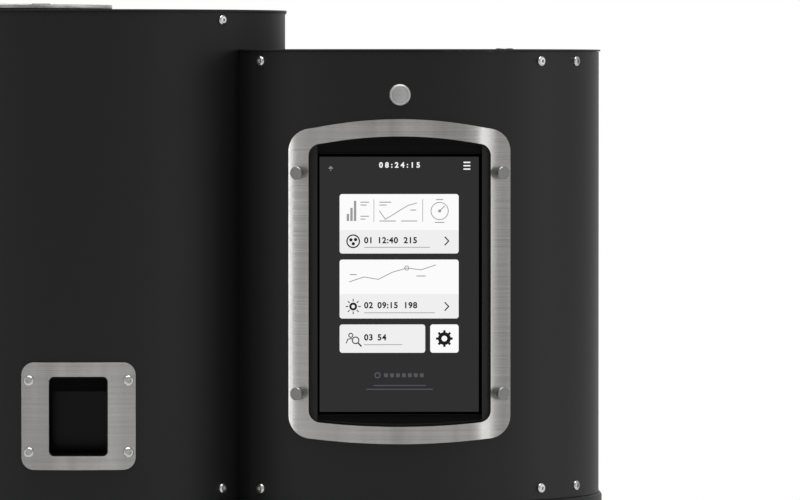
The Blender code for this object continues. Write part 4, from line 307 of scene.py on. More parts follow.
# Plain finishes: name, colour, metallic, roughness and specular level
PLAIN = {
    # Bright-rolled sheet with a fine even grain
    "drawn": ("drawn stainless sheet", "#C6C5C2", 1, 0.34, 0.5),
    # Cold-headed and tumbled stainless, bright enough to sparkle
    "screw": ("tumbled stainless screw", "#D6D6D4", 1, 0.22, 0.5),
    # Blasted stainless: its rounded rim gathers the side lamps in a soft crescent
    "ring": ("blasted stainless ring", "#C4C3C1", 1, 0.55, 0.5),
    # Turned stainless coloured darker than the plate: painted reflection of the dark recess beside the
    # bezel's studs, so that it looks greyer than the plate
    "stud": ("turned stainless darkened as painted reflection", "#8E8E8C", 1, 0.36, 0.5),
    # A hexagon hole full of its own shade
    "socket": ("shaded screw socket", "#1A1A1A", 0.5, 0.5, 0.5),
    # Spark-eroded ABS: dull and even
    "moulded": ("eroded black ABS", "#131313", 0, 0.62, 0.5),
    # Painted shade: near-black and dull, darker than the moulded black, so that the housing round the display
    # stays as dark as the shadow in its recess
    "recess": ("housing darkened as painted shade", "#070707", 0, 0.80, 0.22),
    # Near-black sheet that swallows the light behind the window frame; its deep band over the pane is painted
    # shade
    "tunnel": ("black tunnel sheet", "#0B0B0B", 0, 0.66, 0.35),
    # Sight glass with a coat that dulls its reflections, drawn as an opaque near-black face: painted shade
    # for the unlit drum behind it
    "pane": ("coated sight glass", "#080808", 0, 0.16, 0.25),
    # Nitrile rubber, dull all over
    "rubber": ("moulded nitrile rubber", "#161616", 0, 0.85, 0.5),
    # Pressed silicone, a shade smoother than rubber
    "silicone": ("pressed silicone gasket", "#1B1A1A", 0, 0.70, 0.5),
    # Zinc plating: a cool grey with soft reflections
    "zinc": ("zinc plated sheet", "#A9ABAD", 1, 0.42, 0.5),
    # Steel that heat has turned brownish and dull
    "drum": ("heat dulled drum steel", "#8C8580", 1, 0.45, 0.5),
    # The fine cast skin of aluminium, pale and matt
    "cast": ("die cast aluminium", "#B4B4B4", 1, 0.48, 0.5),
    # Stoving lacquer on a steel can, nearly black
    "motor": ("lacquered motor can", "#262628", 0.3, 0.42, 0.5),
    # A heater's sheath with its brown oxide
    "sheath": ("oxidised heater sheath", "#5A4A40", 0.8, 0.55, 0.5),
    # Solder mask: deep green with a resin's shine
    "board": ("green solder mask", "#123A26", 0, 0.40, 0.5),
    # Ink printed under the glass, blacker than all else
    "border": ("black print under glass", "#000000", 0, 0.5, 0.0),
}

# Colours that the display gives off
LIT = {
    "ground": ("lit display ground", "#303031"),
    "white": ("lit display white", "#FBFBFB"),
    "pale": ("lit display pale grey", "#EFEFF0"),
    "ink": ("lit display ink", "#1E1E20"),
    "grey": ("lit display grey", "#9A9A9C"),
    "dim": ("lit display dim grey", "#56565A"),
}


def make_finishes():
    """Fills the table of finishes, each named for its stuff and how it was made."""
    coat = (*bpy.context.scene.roaster_colours.coat, 1)
    glass = {"IOR": 1.5}
    FINISHES.update(
        {
            "coat": powder_coat("powder coated steel sheet", coat),
            "brushed": brushed_steel("belt brushed stainless plate", "#D3D2D0", 0.22, 0.220, 0.0007),
            # The lid's steel is lighter than the plate's: painted highlight for its bright rounded rim
            "lid": brushed_steel("belt brushed lid, lightened as painted highlight", "#F0EFED", 0.30, 0.220, 0.0007, axis="Y"),
            "cap": brushed_steel("belt brushed button cap", "#C6C5C3", 0.36, 0.020, 0.0009, 0.10),
            # Float glass: sharp reflections over the dark display
            "glass": new_material("display cover glass", linear("#030303"), 0, 0.10, **glass),
        }
    )
    for finish, (name, code, metallic, roughness, level) in PLAIN.items():
        shine = {"Specular IOR Level": level}
        FINISHES[finish] = new_material(name, linear(code), metallic, roughness, **shine)
    for finish, (name, code) in LIT.items():
        FINISHES[finish] = lit(name, code)


def deselect():
    """Deselects everything, because an operator acts on all that is selected."""
    for obj in list(bpy.context.selected_objects):
        obj.select_set(False)


def focus(*objs):
    """Selects only these objects, and makes the first one active."""
    deselect()
    for obj in objs:
        obj.select_set(True)
    bpy.context.view_layer.objects.active = objs[0]


def drop(obj):
    """Removes an object that is used up."""
    bpy.data.objects.remove(obj, do_unlink=True)


def new(name):
    """Names the primitive that was just added, and puts its place into its mesh."""
    obj = bpy.context.object
    obj.name = obj.data.name = name
    bpy.ops.object.transform_apply(location=True, rotation=True, scale=True)
    return obj


def cylinder(name, centre, radius, depth, axis="Z", vertices=64):
    """A cylinder along an axis, round its centre."""
    deselect()
    turn = {"Z": (0, 0, 0), "Y": (math.pi / 2, 0, 0), "X": (0, math.pi / 2, 0)}[axis]
    bpy.ops.mesh.primitive_cylinder_add(
        vertices=vertices, radius=radius, depth=depth, location=centre, rotation=turn
    )
    return new(name)


def block(name, low, high):
    """A block between two corners."""
    deselect()
    low, high = Vector(low), Vector(high)
    bpy.ops.mesh.primitive_cube_add(size=1, location=(low + high) / 2, scale=high - low)
    return new(name)


def middle(part):
    """A vertex's place, or the mean of an edge's or a face's vertices."""
    if isinstance(part, bmesh.types.BMVert):
        return part.co
    return sum((v.co for v in part.verts), Vector()) / len(part.verts)


def pick(obj, kind, test):
    """Selects, in edit mode, only the vertices, edges or faces that pass the test."""
    bpy.ops.mesh.select_mode(type=kind)
    bpy.ops.mesh.select_all(action="DESELECT")
    mesh = bmesh.from_edit_mesh(obj.data)
    parts = {"VERT": mesh.verts, "EDGE": mesh.edges, "FACE": mesh.faces}[kind]
    for part in parts:
        if test(part):
            part.select_set(True)
    mesh.select_flush_mode()
    bmesh.update_edit_mesh(obj.data)


def edit(obj):
    """Opens an object in edit mode."""
    focus(obj)
    bpy.ops.object.mode_set(mode="EDIT")


def leave():
    """Goes back to object mode."""
    bpy.ops.object.mode_set(mode="OBJECT")


def along(edge, axis):
    """True for an edge that runs along X, Y or Z."""
    way = (edge.verts[0].co - edge.verts[1].co).normalized()
    return abs(way["XYZ".index(axis)]) > 0.999


def folded(edge, angle=1):
    """True for an edge whose two faces meet at more than an angle, in radians."""
    return edge.is_manifold and edge.calc_face_angle() > angle


def bevel_edges(obj, width, segments, test):
    """Rounds the edges that pass the test."""
    edit(obj)
    pick(obj, "EDGE", test)
    bpy.ops.mesh.bevel(offset=width, segments=segments, affect="EDGES")
    leave()
    return obj


def boolean(obj, operation, *others):
    """Cuts, joins or limits obj by the others, which are used up."""
    for other in others:
        focus(obj)
        step = obj.modifiers.new("cut", "BOOLEAN")
        step.operation = operation
        step.object = other
        step.solver = "EXACT"
        bpy.ops.object.modifier_apply(modifier=step.name)
        drop(other)
    return obj


def cut(obj, *others):
    return boolean(obj, "DIFFERENCE", *others)


def limit(obj, *others):
    return boolean(obj, "INTERSECT", *others)


def unite(obj, *others):
    return boolean(obj, "UNION", *others)


def gather(*objs):
    """Makes one object of several that don't touch, under the first one's name."""
    focus(*objs)
    if len(objs) > 1:
        bpy.ops.object.join()
    return objs[0]


def copy_of(obj, name, matrix):
    """A copy with its own mesh, put in its place."""
    focus(obj)
    bpy.ops.object.duplicate()
    made = bpy.context.object
    made.name = made.data.name = name
    made.matrix_world = matrix
    bpy.ops.object.transform_apply(location=True, rotation=True, scale=True)
    return made


def row_of(template, name, places):
    """Copies of a template at the places, as one object."""
    return gather(*[copy_of(template, name, place) for place in places])


def shaded(obj, angle=30):
    """Smooth shading, with each broad face's own normal kept up to its rounded edges."""
    focus(obj)
    bpy.ops.object.shade_smooth_by_angle(angle=math.radians(angle))
    step = obj.modifiers.new("even", "WEIGHTED_NORMAL")
    step.mode, step.weight, step.keep_sharp = "FACE_AREA_WITH_ANGLE", 100, True
    bpy.ops.object.modifier_apply(modifier=step.name)
    return obj


def dressed(obj, finish, body="housing", replaces=(), angle=30):
    """The finished piece: its material, its shading, its body and the nodes that it stands for."""
    if finish:
        obj.data.materials.clear()
        obj.data.materials.append(FINISHES[finish])
    shaded(obj, angle)
    if replaces:
        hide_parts(*replaces)
    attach(obj, body)
    return obj


def tidy(obj):
    """Doubles merged and faces turned outwards."""
    edit(obj)
    bpy.ops.mesh.select_all(action="SELECT")
    bpy.ops.mesh.remove_doubles(threshold=TINY / 4)
    bpy.ops.mesh.normals_make_consistent(inside=False)
    leave()
    return obj


def thread(name, places):
    """A chain of edges through the places, grown from one vertex and left open in edit mode."""
    deselect()
    bpy.ops.mesh.primitive_plane_add(size=TINY * 20, location=places[0])
    obj = new(name)
    edit(obj)
    bpy.ops.mesh.select_mode(type="VERT")
    bpy.ops.mesh.select_all(action="SELECT")
    bpy.ops.mesh.merge(type="CENTER")
    for here, there in zip(places, places[1:]):
        bpy.ops.mesh.extrude_vertices_move(TRANSFORM_OT_translate={"value": there - here})
    return obj


def close(obj, places):
    """Joins the two ends of a thread."""
    pick(obj, "VERT", lambda v: (v.co - places[0]).length < TINY or (v.co - places[-1]).length < TINY)
    bpy.ops.mesh.edge_face_add()
    bpy.ops.mesh.select_all(action="SELECT")


def spun(name, profile, centre, axis="Z", steps=96):
    """A chain of points, as (radius, height), turned about Z or Y through the centre."""
    up = Vector((0, 0, 1)) if axis == "Z" else Vector((0, 1, 0))
    places = [Vector(centre) + Vector((radius, 0, 0)) + up * height for radius, height in profile]
    obj = thread(name, places)
    if profile[0][0] > 0 and profile[-1][0] > 0:
        close(obj, places)
    bpy.ops.mesh.select_all(action="SELECT")
    bpy.ops.mesh.spin(steps=steps, angle=2 * math.pi, center=centre, axis=up)
    leave()
    return tidy(obj)


def tower_block(name, x, radius, back, low, high, corner):
    """A solid with a half round front, flat sides and a flat back, as a tower has in plan."""
    depth = high - low
    obj = cylinder(name, (x, AXIS_Y, (low + high) / 2), radius, depth, vertices=256)
    edit(obj)
    bpy.ops.mesh.select_all(action="SELECT")
    bpy.ops.mesh.bisect(plane_co=(x, AXIS_Y, low), plane_no=(0, 1, 0), use_fill=True, clear_outer=True)
    pick(obj, "FACE", lambda f: f.normal.y > 0.99 and abs(middle(f).y - AXIS_Y) < TINY)
    bpy.ops.mesh.extrude_region_move(TRANSFORM_OT_translate={"value": (0, back - AXIS_Y, 0)})
    pick(obj, "EDGE", lambda e: along(e, "Z") and abs(middle(e).y - back) < TINY)
    bpy.ops.mesh.bevel(offset=corner, segments=12, affect="EDGES")
    leave()
    return tidy(obj)


def rounded_block(name, low, high, corner, axis="Y", segments=8):
    """A block whose four edges along an axis are rounded."""
    obj = block(name, low, high)
    return bevel_edges(obj, corner, segments, lambda e: along(e, axis))


def outline_prism(name, points, low, high):
    """An outline in front view, as (x, z) points in order, run through from low to high along Y."""
    places = [Vector((x, low, z)) for x, z in points]
    obj = thread(name, places)
    close(obj, places)
    bpy.ops.mesh.edge_face_add()
    bpy.ops.mesh.select_all(action="SELECT")
    bpy.ops.mesh.extrude_region_move(TRANSFORM_OT_translate={"value": (0, high - low, 0)})
    leave()
    return tidy(obj)


def arched_points(half, low, high, corner, steps=24, corner_steps=10):
    """The screen bezel's outline: upright sides, a top arc that falls and a bottom arc that rises outwards.
    Fall and rise are those of the arcs at a span from the middle."""
    span, fall, rise = 0.0756, 0.0082, 0.0040
    inner = half - corner
    quarter = math.pi / 2
    points = []
    for side, level, change in ((1, high, fall), (-1, low, rise)):
        radius = (span**2 + change**2) / 2 / change
        arc = []
        for i in range(steps + 1):
            across = inner * (1 - 2 * i / steps) * side
            arc.append((across, level - side * (radius - math.sqrt(radius**2 - across**2))))
        lean = math.asin(inner / radius)
        first = 0 if side > 0 else math.pi
        bends = ((0, first, first + quarter - lean), (-1, first + quarter + lean, first + math.pi))
        for end, begin, finish in bends:
            x, z = arc[end]
            turns = [begin + (finish - begin) * i / corner_steps for i in range(corner_steps + 1)]
            bend = [(x + corner * math.cos(t), z + corner * (math.sin(t) - side)) for t in turns]
            points += bend if end == 0 else arc[1:-1] + bend
    return [(CONTROL_X + x, z) for x, z in points]


def bent_plate(name, x, lift, sheet, outline, *holes, y=AXIS_Y, radius=RADIUS):
    """A plate bent to a tower's front, cut to an outline and pierced by holes."""
    inner = radius + lift
    centre = (x, y, DECK + RADIUS)
    tall = 6 * RADIUS
    plate = cylinder(name, centre, inner + sheet, tall, vertices=FINE)
    cut(plate, cylinder("inside", centre, inner, tall + RADIUS, vertices=FINE))
    limit(plate, outline)
    return cut(plate, *holes)


def outermost(edge):
    """True for an edge on the outer of a bent plate's two faces, which stands over its tower's sheet."""
    over = 0.002
    x = ROASTER_X if middle(edge).x < 0 else CONTROL_X
    reach = min(math.hypot(v.co.x - x, v.co.y - AXIS_Y) for v in edge.verts)
    return reach > RADIUS + over


def soften_rim(obj, width, segments=2, angle=50):
    """Rounds the sharp edges of a bent plate's face."""
    edit(obj)
    sharp = math.radians(angle)
    pick(obj, "EDGE", lambda e: folded(e, sharp) and outermost(e))
    bpy.ops.mesh.bevel(offset=width, segments=segments, affect="EDGES", clamp_overlap=True)
    leave()
    return obj


def bent_rod(name, places, bend, radius, sides=32):
    """A round rod through the places, with a bend of a given radius at each corner."""
    places = [Vector(place) for place in places]
    first = (places[1] - places[0]).normalized()
    deselect()
    turn = first.to_track_quat("Z", "Y").to_euler()
    bpy.ops.mesh.primitive_circle_add(
        vertices=sides, radius=radius, fill_type="NGON", location=places[0], rotation=turn
    )
    obj = new(name)
    edit(obj)
    bpy.ops.mesh.select_mode(type="FACE")
    bpy.ops.mesh.select_all(action="SELECT")
    here = places[0]
    for i in range(1, len(places)):
        way = (places[i] - places[i - 1]).normalized()
        last = i == len(places) - 1
        stop = places[i] if last else places[i] - way * bend
        bpy.ops.mesh.extrude_region_move(TRANSFORM_OT_translate={"value": stop - here})
        if not last:
            onward = (places[i + 1] - places[i]).normalized()
            centre = stop + onward * bend
            axis = onward.cross(way)
            bpy.ops.mesh.spin(steps=10, angle=way.angle(onward), center=centre, axis=axis)
            here = places[i] + onward * bend
    leave()
    return tidy(obj)


def on_lobe(x, angle, radius, z):
    """The matrix that puts a piece, made upright at the origin, on a tower's front, facing outwards."""
    turn = math.radians(angle)
    place = Vector((x + radius * math.sin(turn), AXIS_Y - radius * math.cos(turn), z))
    return Matrix.Translation(place) @ Matrix.Rotation(turn, 4, "Z") @ Matrix.Rotation(math.pi / 2, 4, "X")


class ROASTER_OT_towers(bpy.types.Operator):
    """Models both towers' bent sheet, their top plates and the cable plug"""

    bl_idname = "roaster.towers"
    bl_label = "Towers"

    def execute(self, context):
        sizes = context.scene.roaster_sizes
        for tower, x in AXIS_X.items():
            self.shell(tower, x, sizes.sheet, sizes.rear_corner)
            self.top_plate(tower, x, sizes.rear_corner)
        return {"FINISHED"}

    def shell(self, tower, x, sheet, corner):
        """A tower's sheet, open at its top, its bottom and over most of its back."""
        top = SHELL_TOP[tower]
        half = 0.125
        shell = tower_block(f"{tower}_tower_sheet", x, RADIUS, BODY_BACK, DECK, top, corner)
        inner = (RADIUS - sheet, BODY_BACK - sheet, DECK - OVER, top + OVER, corner - sheet)
        cut(shell, tower_block("inside", x, *inner))
        back_low, back_high = (x - half, BODY_BACK - OVER, DECK - OVER), (x + half, BODY_BACK + OVER, ABOVE)
        cut(shell, block("back", back_low, back_high))
        cutters = self.roaster_cutters() if tower == "roaster" else self.control_cutters(top, corner)
        cut(shell, *cutters)
        dressed(shell, "coat", replaces=[f"{tower}_tower_shell"])

    def roaster_cutters(self):
        """The holes for the window's tunnel and for the exhaust duct."""
        low, high = corners(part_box("window_tunnel"))
        reach, depth = 0.2, 0.05
        gap = Vector((SEAM, reach, SEAM))
        window = rounded_block("window", low - gap, high + Vector((SEAM, -depth, SEAM)), WINDOW_CORNER)
        duct_low, duct_high = corners(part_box("exhaust_duct"))
        duct = (duct_low + duct_high) / 2
        radius = (duct_high.z - duct_low.z) / 2 + 0.0005
        side, length = 0.04, 0.05
        return window, cylinder("duct", (side, duct_high.y - radius, duct.z), radius, length, "X")

    def control_cutters(self, top, corner):
        """What the roasting tower takes up, the left side, and the holes for the screen and the button."""
        beside = (RADIUS + SEAM, BODY_BACK + SEAM, DECK - 2 * OVER, top + 2 * OVER, corner)
        left_low, left_high = (-0.05, AXIS_Y, DECK - OVER), (0.0403, BODY_BACK + OVER, ABOVE)
        button = centre_of(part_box("power_button_ring"))
        radius, length = 0.0081, 0.06
        return (
            tower_block("beside", ROASTER_X, *beside),
            block("left", left_low, left_high),
            screen_outline("screen", *SHEET_OPENING),
            cylinder("button", (CONTROL_X, button.y, button.z), radius, length, "Y", 32),
        )

    def top_plate(self, tower, x, corner):
        """A cover that laps over its tower's sheet."""
        low, high = corners(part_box(f"{tower}_top_plate"))
        rounding, lowered = (0.0007, 0.0004) if tower == "control" else (0.0003, 0)
        high.z -= lowered
        lap = high.y - BODY_BACK
        plate = tower_block(f"{tower}_tower_cover", x, RADIUS + lap, high.y, low.z, high.z, corner + lap)
        bevel_edges(plate, rounding, 3, lambda e: folded(e) and middle(e).z > high.z - TINY)
        inlet_radius, plug_radius, left = 0.062, 0.0053, -0.06
        if tower == "roaster":
            inlet = centre_of(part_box("inlet_gasket"))
            cut(plate, cylinder("inlet", (inlet.x, inlet.y, low.z), inlet_radius, 2 * OVER))
        else:
            beside = (RADIUS + SEAM, BODY_BACK + SEAM, low.z - 2 * OVER, high.z + 2 * OVER, corner)
            cut(plate, tower_block("beside", ROASTER_X, *beside))
            cut(plate, block("left", (left, AXIS_Y, low.z - OVER), (0, high.y + OVER, high.z + OVER)))
            plug = centre_of(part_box("top_plug"))
            cut(plate, cylinder("plug", (plug.x, plug.y, low.z), plug_radius, 2 * OVER, vertices=24))
            self.plug()
        dressed(plate, "coat", replaces=[f"{tower}_top_plate"])

    def plug(self):
        """The flat cap in the cable opening."""
        low, high = corners(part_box("top_plug"))
        centre = (low + high) / 2
        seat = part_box("control_top_plate")[1][2] - 0.0001
        top = seat + 0.0009
        radius, stem = (high.x - low.x) / 2 + 0.0001, 0.0050
        profile = [(0, low.z), (stem - 0.0004, low.z), (stem, low.z + 0.0004), (stem, seat), (radius, seat)]
        profile += [(radius, seat + 0.0003), (radius - 0.0005, seat + 0.0007)]
        profile += [(radius - 0.0020, top), (0, top)]
        plug = spun("cable_plug", profile, (centre.x, centre.y, 0), steps=64)
        dressed(plug, "cap", replaces=["top_plug"])


class ROASTER_OT_base(bpy.types.Operator):
    """Models the base's sheet with all its openings"""

    bl_idname = "roaster.base"
    bl_label = "Base"

    def execute(self, context):
        sizes = context.scene.roaster_sizes
        low, high, back = BASE_LOW.z, BASE_HIGH.z, BASE_HIGH.y
        corner = sizes.rear_corner + back - BODY_BACK
        wall = 0.002
        shell = self.both("base_sheet", BASE_RADIUS, back, low, high, corner)
        bevel_edges(shell, sizes.base_edge, 4, lambda e: folded(e) and middle(e).z > high - TINY)
        inner = (BASE_RADIUS - wall, back - wall, low - OVER, high - wall, corner - wall)
        cut(shell, self.both("inside", *inner))
        gap, chaff_radius = 0.0005, 0.0245
        cut(shell, self.front_hole(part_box("cooling_bay"), SEAM))
        cut(shell, self.front_hole(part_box("chaff_drawer_front"), gap))
        chute_low, chute_high = corners(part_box("discharge_chute"))
        hole_low = (chute_low.x - gap, chute_low.y - gap, high - 2 * OVER)
        hole_high = (chute_high.x + gap, chute_high.y + gap, high + 2 * OVER)
        cut(shell, block("chute", hole_low, hole_high))
        cyclone = centre_of(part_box("chaff_cyclone"))
        cut(shell, cylinder("chaff", (cyclone.x, cyclone.y, high), chaff_radius, 4 * OVER))
        socket = centre_of(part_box("mains_inlet"))
        socket.y = back
        half = Vector((0.0138, 2 * OVER, 0.0103))
        cut(shell, block("socket", socket - half, socket + half))
        left, right = ROASTER_X - BASE_SLOT_HALF, ROASTER_X + BASE_SLOT_HALF
        for z in BASE_SLOTS:
            top = z + BASE_SLOT_HEIGHT
            cut(shell, block("vent", (left, back - 2 * OVER, z), (right, back + 2 * OVER, top)))
        dressed(shell, "coat", replaces=["base_shell"])
        return {"FINISHED"}

    def both(self, name, radius, rear, bottom, top, bend):
        """A solid under both towers."""
        left = tower_block(name, ROASTER_X, radius, rear, bottom, top, bend)
        right = tower_block("right", CONTROL_X, radius, rear, bottom, top, bend)
        between = block("between", (ROASTER_X, AXIS_Y, bottom), (CONTROL_X, rear, top))
        return tidy(unite(left, right, between))

    def front_hole(self, box, gap):
        """A cutter as wide and high as a box and a gap round it."""
        low, high = corners(box)
        return block("hole", (low.x - gap, FRONT, low.z - gap), (high.x + gap, AXIS_Y, high.z + gap))


def screen_outline(name, side, band, corner):
    """A prism of the bezel's outline, grown by a side and a band width."""
    low, high = corners(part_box("screen_bezel"))
    points = arched_points((high.x - low.x) / 2 + side, low.z - band, high.z + band, corner)
    return outline_prism(name, points, FRONT, AXIS_Y)


class ROASTER_OT_window(bpy.types.Operator):
    """Models the sight window's brushed frame, its tunnel, its pane and its four screws"""

    bl_idname = "roaster.window"
    bl_label = "Window"

    def execute(self, context):
        low, high = corners(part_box("window_frame"))
        self.centre = (low + high) / 2
        self.surround(low, high, context.scene.roaster_sizes.plate_edge)
        # The pane's near-black colour is painted shade for the unlit drum behind it
        repaint("window_glass", "pane")
        self.tunnel()
        self.screws()
        return {"FINISHED"}

    def surround(self, low, high, edge):
        """The bent plate, with its outline and its opening where the photograph shows them."""
        outline_low = (low.x + 0.0012, FRONT, low.z + 0.0012)
        outline_high = (high.x + 0.0003, AXIS_Y, high.z + 0.0006)
        outline = rounded_block("outline", outline_low, outline_high, 0.0105, segments=10)
        x, z = self.centre.x, self.centre.z
        left, right, below, above = 0.0238, 0.0253, 0.0326, 0.0340
        opening_low = (x - left, FRONT - OVER, z - below)
        opening_high = (x + right, AXIS_Y + OVER, z + above)
        opening = rounded_block("opening", opening_low, opening_high, WINDOW_CORNER)
        plate = bent_plate("window_surround", ROASTER_X, SEAM, WINDOW_PLATE, outline, opening)
        soften_rim(plate, edge)
        dressed(plate, "brushed", replaces=["window_frame"])

    def tunnel(self):
        """The folded tunnel behind the frame: thin walls, a rim before the pane and, over the pane, a deep
        band of dark sheet that is painted shade for the shadow falling there.
        """
        low, high = corners(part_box("window_tunnel"))
        wall, rim, painted_shade_band, sheet, bend = 0.0012, 0.0009, 0.0150, 0.0020, 0.0031
        left, right, bottom, top = low.x + wall, high.x - wall, low.z + wall, high.z - wall
        seat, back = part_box("window_glass")[0][1] - SEAM, high.y + OVER
        sleeve = rounded_block("window_sleeve", low, high, WINDOW_CORNER)
        bore = rounded_block("bore", (left, low.y - OVER, bottom), (right, seat - sheet, top), bend)
        # Painted shade: the dark sheet left above the view, 15 mm deep, stands where the shadow falls on the
        # pane
        view_low, view_high = (left + rim, low.y, bottom + rim), (right - rim, back, top - painted_shade_band)
        view = rounded_block("view", view_low, view_high, 0.0022)
        pocket = rounded_block("pocket", (left, seat, bottom), (right, back, top), bend)
        limit(sleeve, cylinder("front", (ROASTER_X, AXIS_Y, low.z), RADIUS - SEAM, 0.3, vertices=FINE))
        cut(sleeve, bore, view, pocket)
        dressed(sleeve, "tunnel", replaces=["window_tunnel"])

    def screws(self):
        """A button head near each corner of the frame."""
        radius, height = 0.00445, 0.0024
        template = button_screw("template", radius, height)
        lift = RADIUS + SEAM + WINDOW_PLATE
        places = []
        for dx in (-0.0407, 0.0425):
            for dz in (-0.0297, 0.0305):
                angle = math.degrees(math.asin(dx / lift))
                places.append(on_lobe(ROASTER_X, angle, lift, self.centre.z + dz))
        heads = row_of(template, "window_screw_1", places)
        drop(template)
        dressed(heads, None)


def button_screw(name, radius, height, segments=32):
    """A button head, upright at the origin: a low rim, a rounded shoulder, a flat and a hexagon socket."""
    rim, flat, steps = height * 0.32, radius * 0.55, 6
    profile = [(0, 0), (radius, 0), (radius, rim)]
    for i in range(1, steps):
        turn = math.pi / 2 * i / steps
        profile.append((flat + (radius - flat) * math.cos(turn), rim + (height - rim) * math.sin(turn)))
    profile += [(flat, height), (0, height)]
    head = spun(name, profile, (0, 0, 0), steps=segments)
    socket = cylinder("socket", (0, 0, height), radius * 0.40, height * 1.1, vertices=6)
    head.data.materials.append(FINISHES["screw"])
    socket.data.materials.append(FINISHES["socket"])
    return cut(head, socket)


def repaint(node, finish):
    """Gives a CAD node that stays in view a better material."""
    mesh = frame["nodes"][node].data
    mesh.materials.clear()
    mesh.materials.append(FINISHES[finish])


class ROASTER_OT_screen(bpy.types.Operator):
    """Models the screen's arched brushed bezel, its four round heads and the black housing in it"""

    bl_idname = "roaster.screen"
    bl_label = "Screen bezel"

    def execute(self, context):
        sizes = context.scene.roaster_sizes
        outline = screen_outline("outline", *BEZEL_OUTLINE)
        opening = screen_outline("opening", *BEZEL_OPENING)
        bezel = bent_plate("screen_surround", CONTROL_X, SEAM, BEZEL_PLATE, outline, opening)
        soften_rim(bezel, sizes.plate_edge)
        dressed(bezel, "brushed", replaces=["screen_bezel"])
        # The housing's darkened finish is painted shade for its recess
        for node, finish in (("screen_housing", "recess"), ("touchscreen", "glass")):
            repaint(node, finish)
        self.side_strips()
        self.studs(sizes.stud_radius, sizes.stud_height)
        return {"FINISHED"}

    def side_strips(self):
        """The coated strips between the bezel and the housing, left and right of the display."""
        half, deep = 0.0692, 0.015
        strips = screen_outline("strips", *STRIPS_OUTLINE)
        between_low = (CONTROL_X - half, AXIS_Y - 3 * RADIUS, 0.3)
        cut(strips, block("gap", between_low, (CONTROL_X + half, AXIS_Y + 0.1, 0.8)))
        dressed(bent_plate("screen_side_strips", CONTROL_X, -deep, deep, strips), "coat")

    def studs(self, radius, height):
        """Flat round heads with a turned edge."""
        edge = radius * 0.08
        profile = [(0, 0), (radius, 0), (radius, height - edge), (radius - edge, height), (0, height)]
        template = spun("template", profile, (0, 0, 0), steps=48)
        # The studs' darker steel is painted reflection of the recess beside them
        template.data.materials.append(FINISHES["stud"])
        lift = RADIUS + SEAM + BEZEL_PLATE
        angle = math.degrees(math.asin(STUD_REACH / lift))
        places = [on_lobe(CONTROL_X, turn, lift, z) for turn in (-angle, angle) for z in STUD_LEVELS]
        heads = row_of(template, "bezel_stud", places)
        drop(template)
        dressed(heads, None)


# The display's parts, as left, low, right and high edges in millimetres from the middle of the glass
CARDS = [
    (-50.4, 25.7, 49.6, 75.6),
    (-50.4, -28.9, 49.6, 20.6),
    (-50.4, -57.7, 21.5, -33.9),
    (25.7, -57.7, 49.6, -33.9),
]
STRIPS = [(-50.4, 25.7, 49.6, 45.4), (-50.4, -28.9, 49.6, -8.3), (-50.4, -57.7, 21.5, -33.9)]
NOTES = [
    (-29.8, 30.6, 25.6, 31.2),
    (-29.8, -24.4, 29.6, -23.8),
    (-29.8, -51.2, 2.4, -50.6),
    (-33.0, 68.4, -25.6, 69.2),
    (-33.0, 66.0, -27.6, 66.8),
    (-33.0, 56.6, -25.6, 57.4),
    (-33.0, 54.2, -28.6, 55.0),
    (-17.0, 68.4, -7.0, 69.2),
    (-17.0, 66.0, -11.0, 66.8),
    (-17.0, 52.6, -3.0, 53.4),
    (1.0, 52.6, 15.0, 53.4),
    (9.0, 61.8, 14.0, 62.6),
    (30.6, 70.6, 36.6, 71.4),
    (29.6, 51.4, 37.6, 52.2),
    (-42.0, 7.6, -36.0, 8.4),
    (14.0, 6.4, 22.0, 7.2),
]
# Digits, the left end and the middle height of each group, and their size, in millimetres
FIGURES = [
    ("01", -29.8, 36.6, 7.0),
    ("12:40", -18.6, 36.6, 7.0),
    ("215", 3.4, 36.6, 7.0),
    ("02", -29.8, -18.0, 7.0),
    ("09:15", -18.6, -18.0, 7.0),
    ("198", 3.4, -18.0, 7.0),
    ("03", -29.8, -45.0, 7.0),
    ("54", -18.6, -45.0, 7.0),
]
FOOTNOTES = [(-22.0, -85.6, 22.0, -84.8), (-28.0, -88.8, 28.0, -88.0)]
# The bars' left edges and heights
BARS = [(-44.4, 6.0), (-41.4, 11.0), (-38.4, 17.0)]
ROAST_CURVE = [(-17, 61.5), (-12, 54.5), (-6, 58), (1, 62.5), (7, 66), (14, 68)]
COOL_CURVE = [(-42, 2), (-30, 6), (-18, 4), (-6, 10), (6, 13.5), (18, 12), (30, 16)]
BEANS = [(-40.9, 37.2), (-37.0, 37.4), (-38.9, 33.9)]
# The spacing of the display's printed layers, in metres, and the turn that stands a flat shape up
LAYER = 0.00006
UPRIGHT = (math.pi / 2, 0, 0)


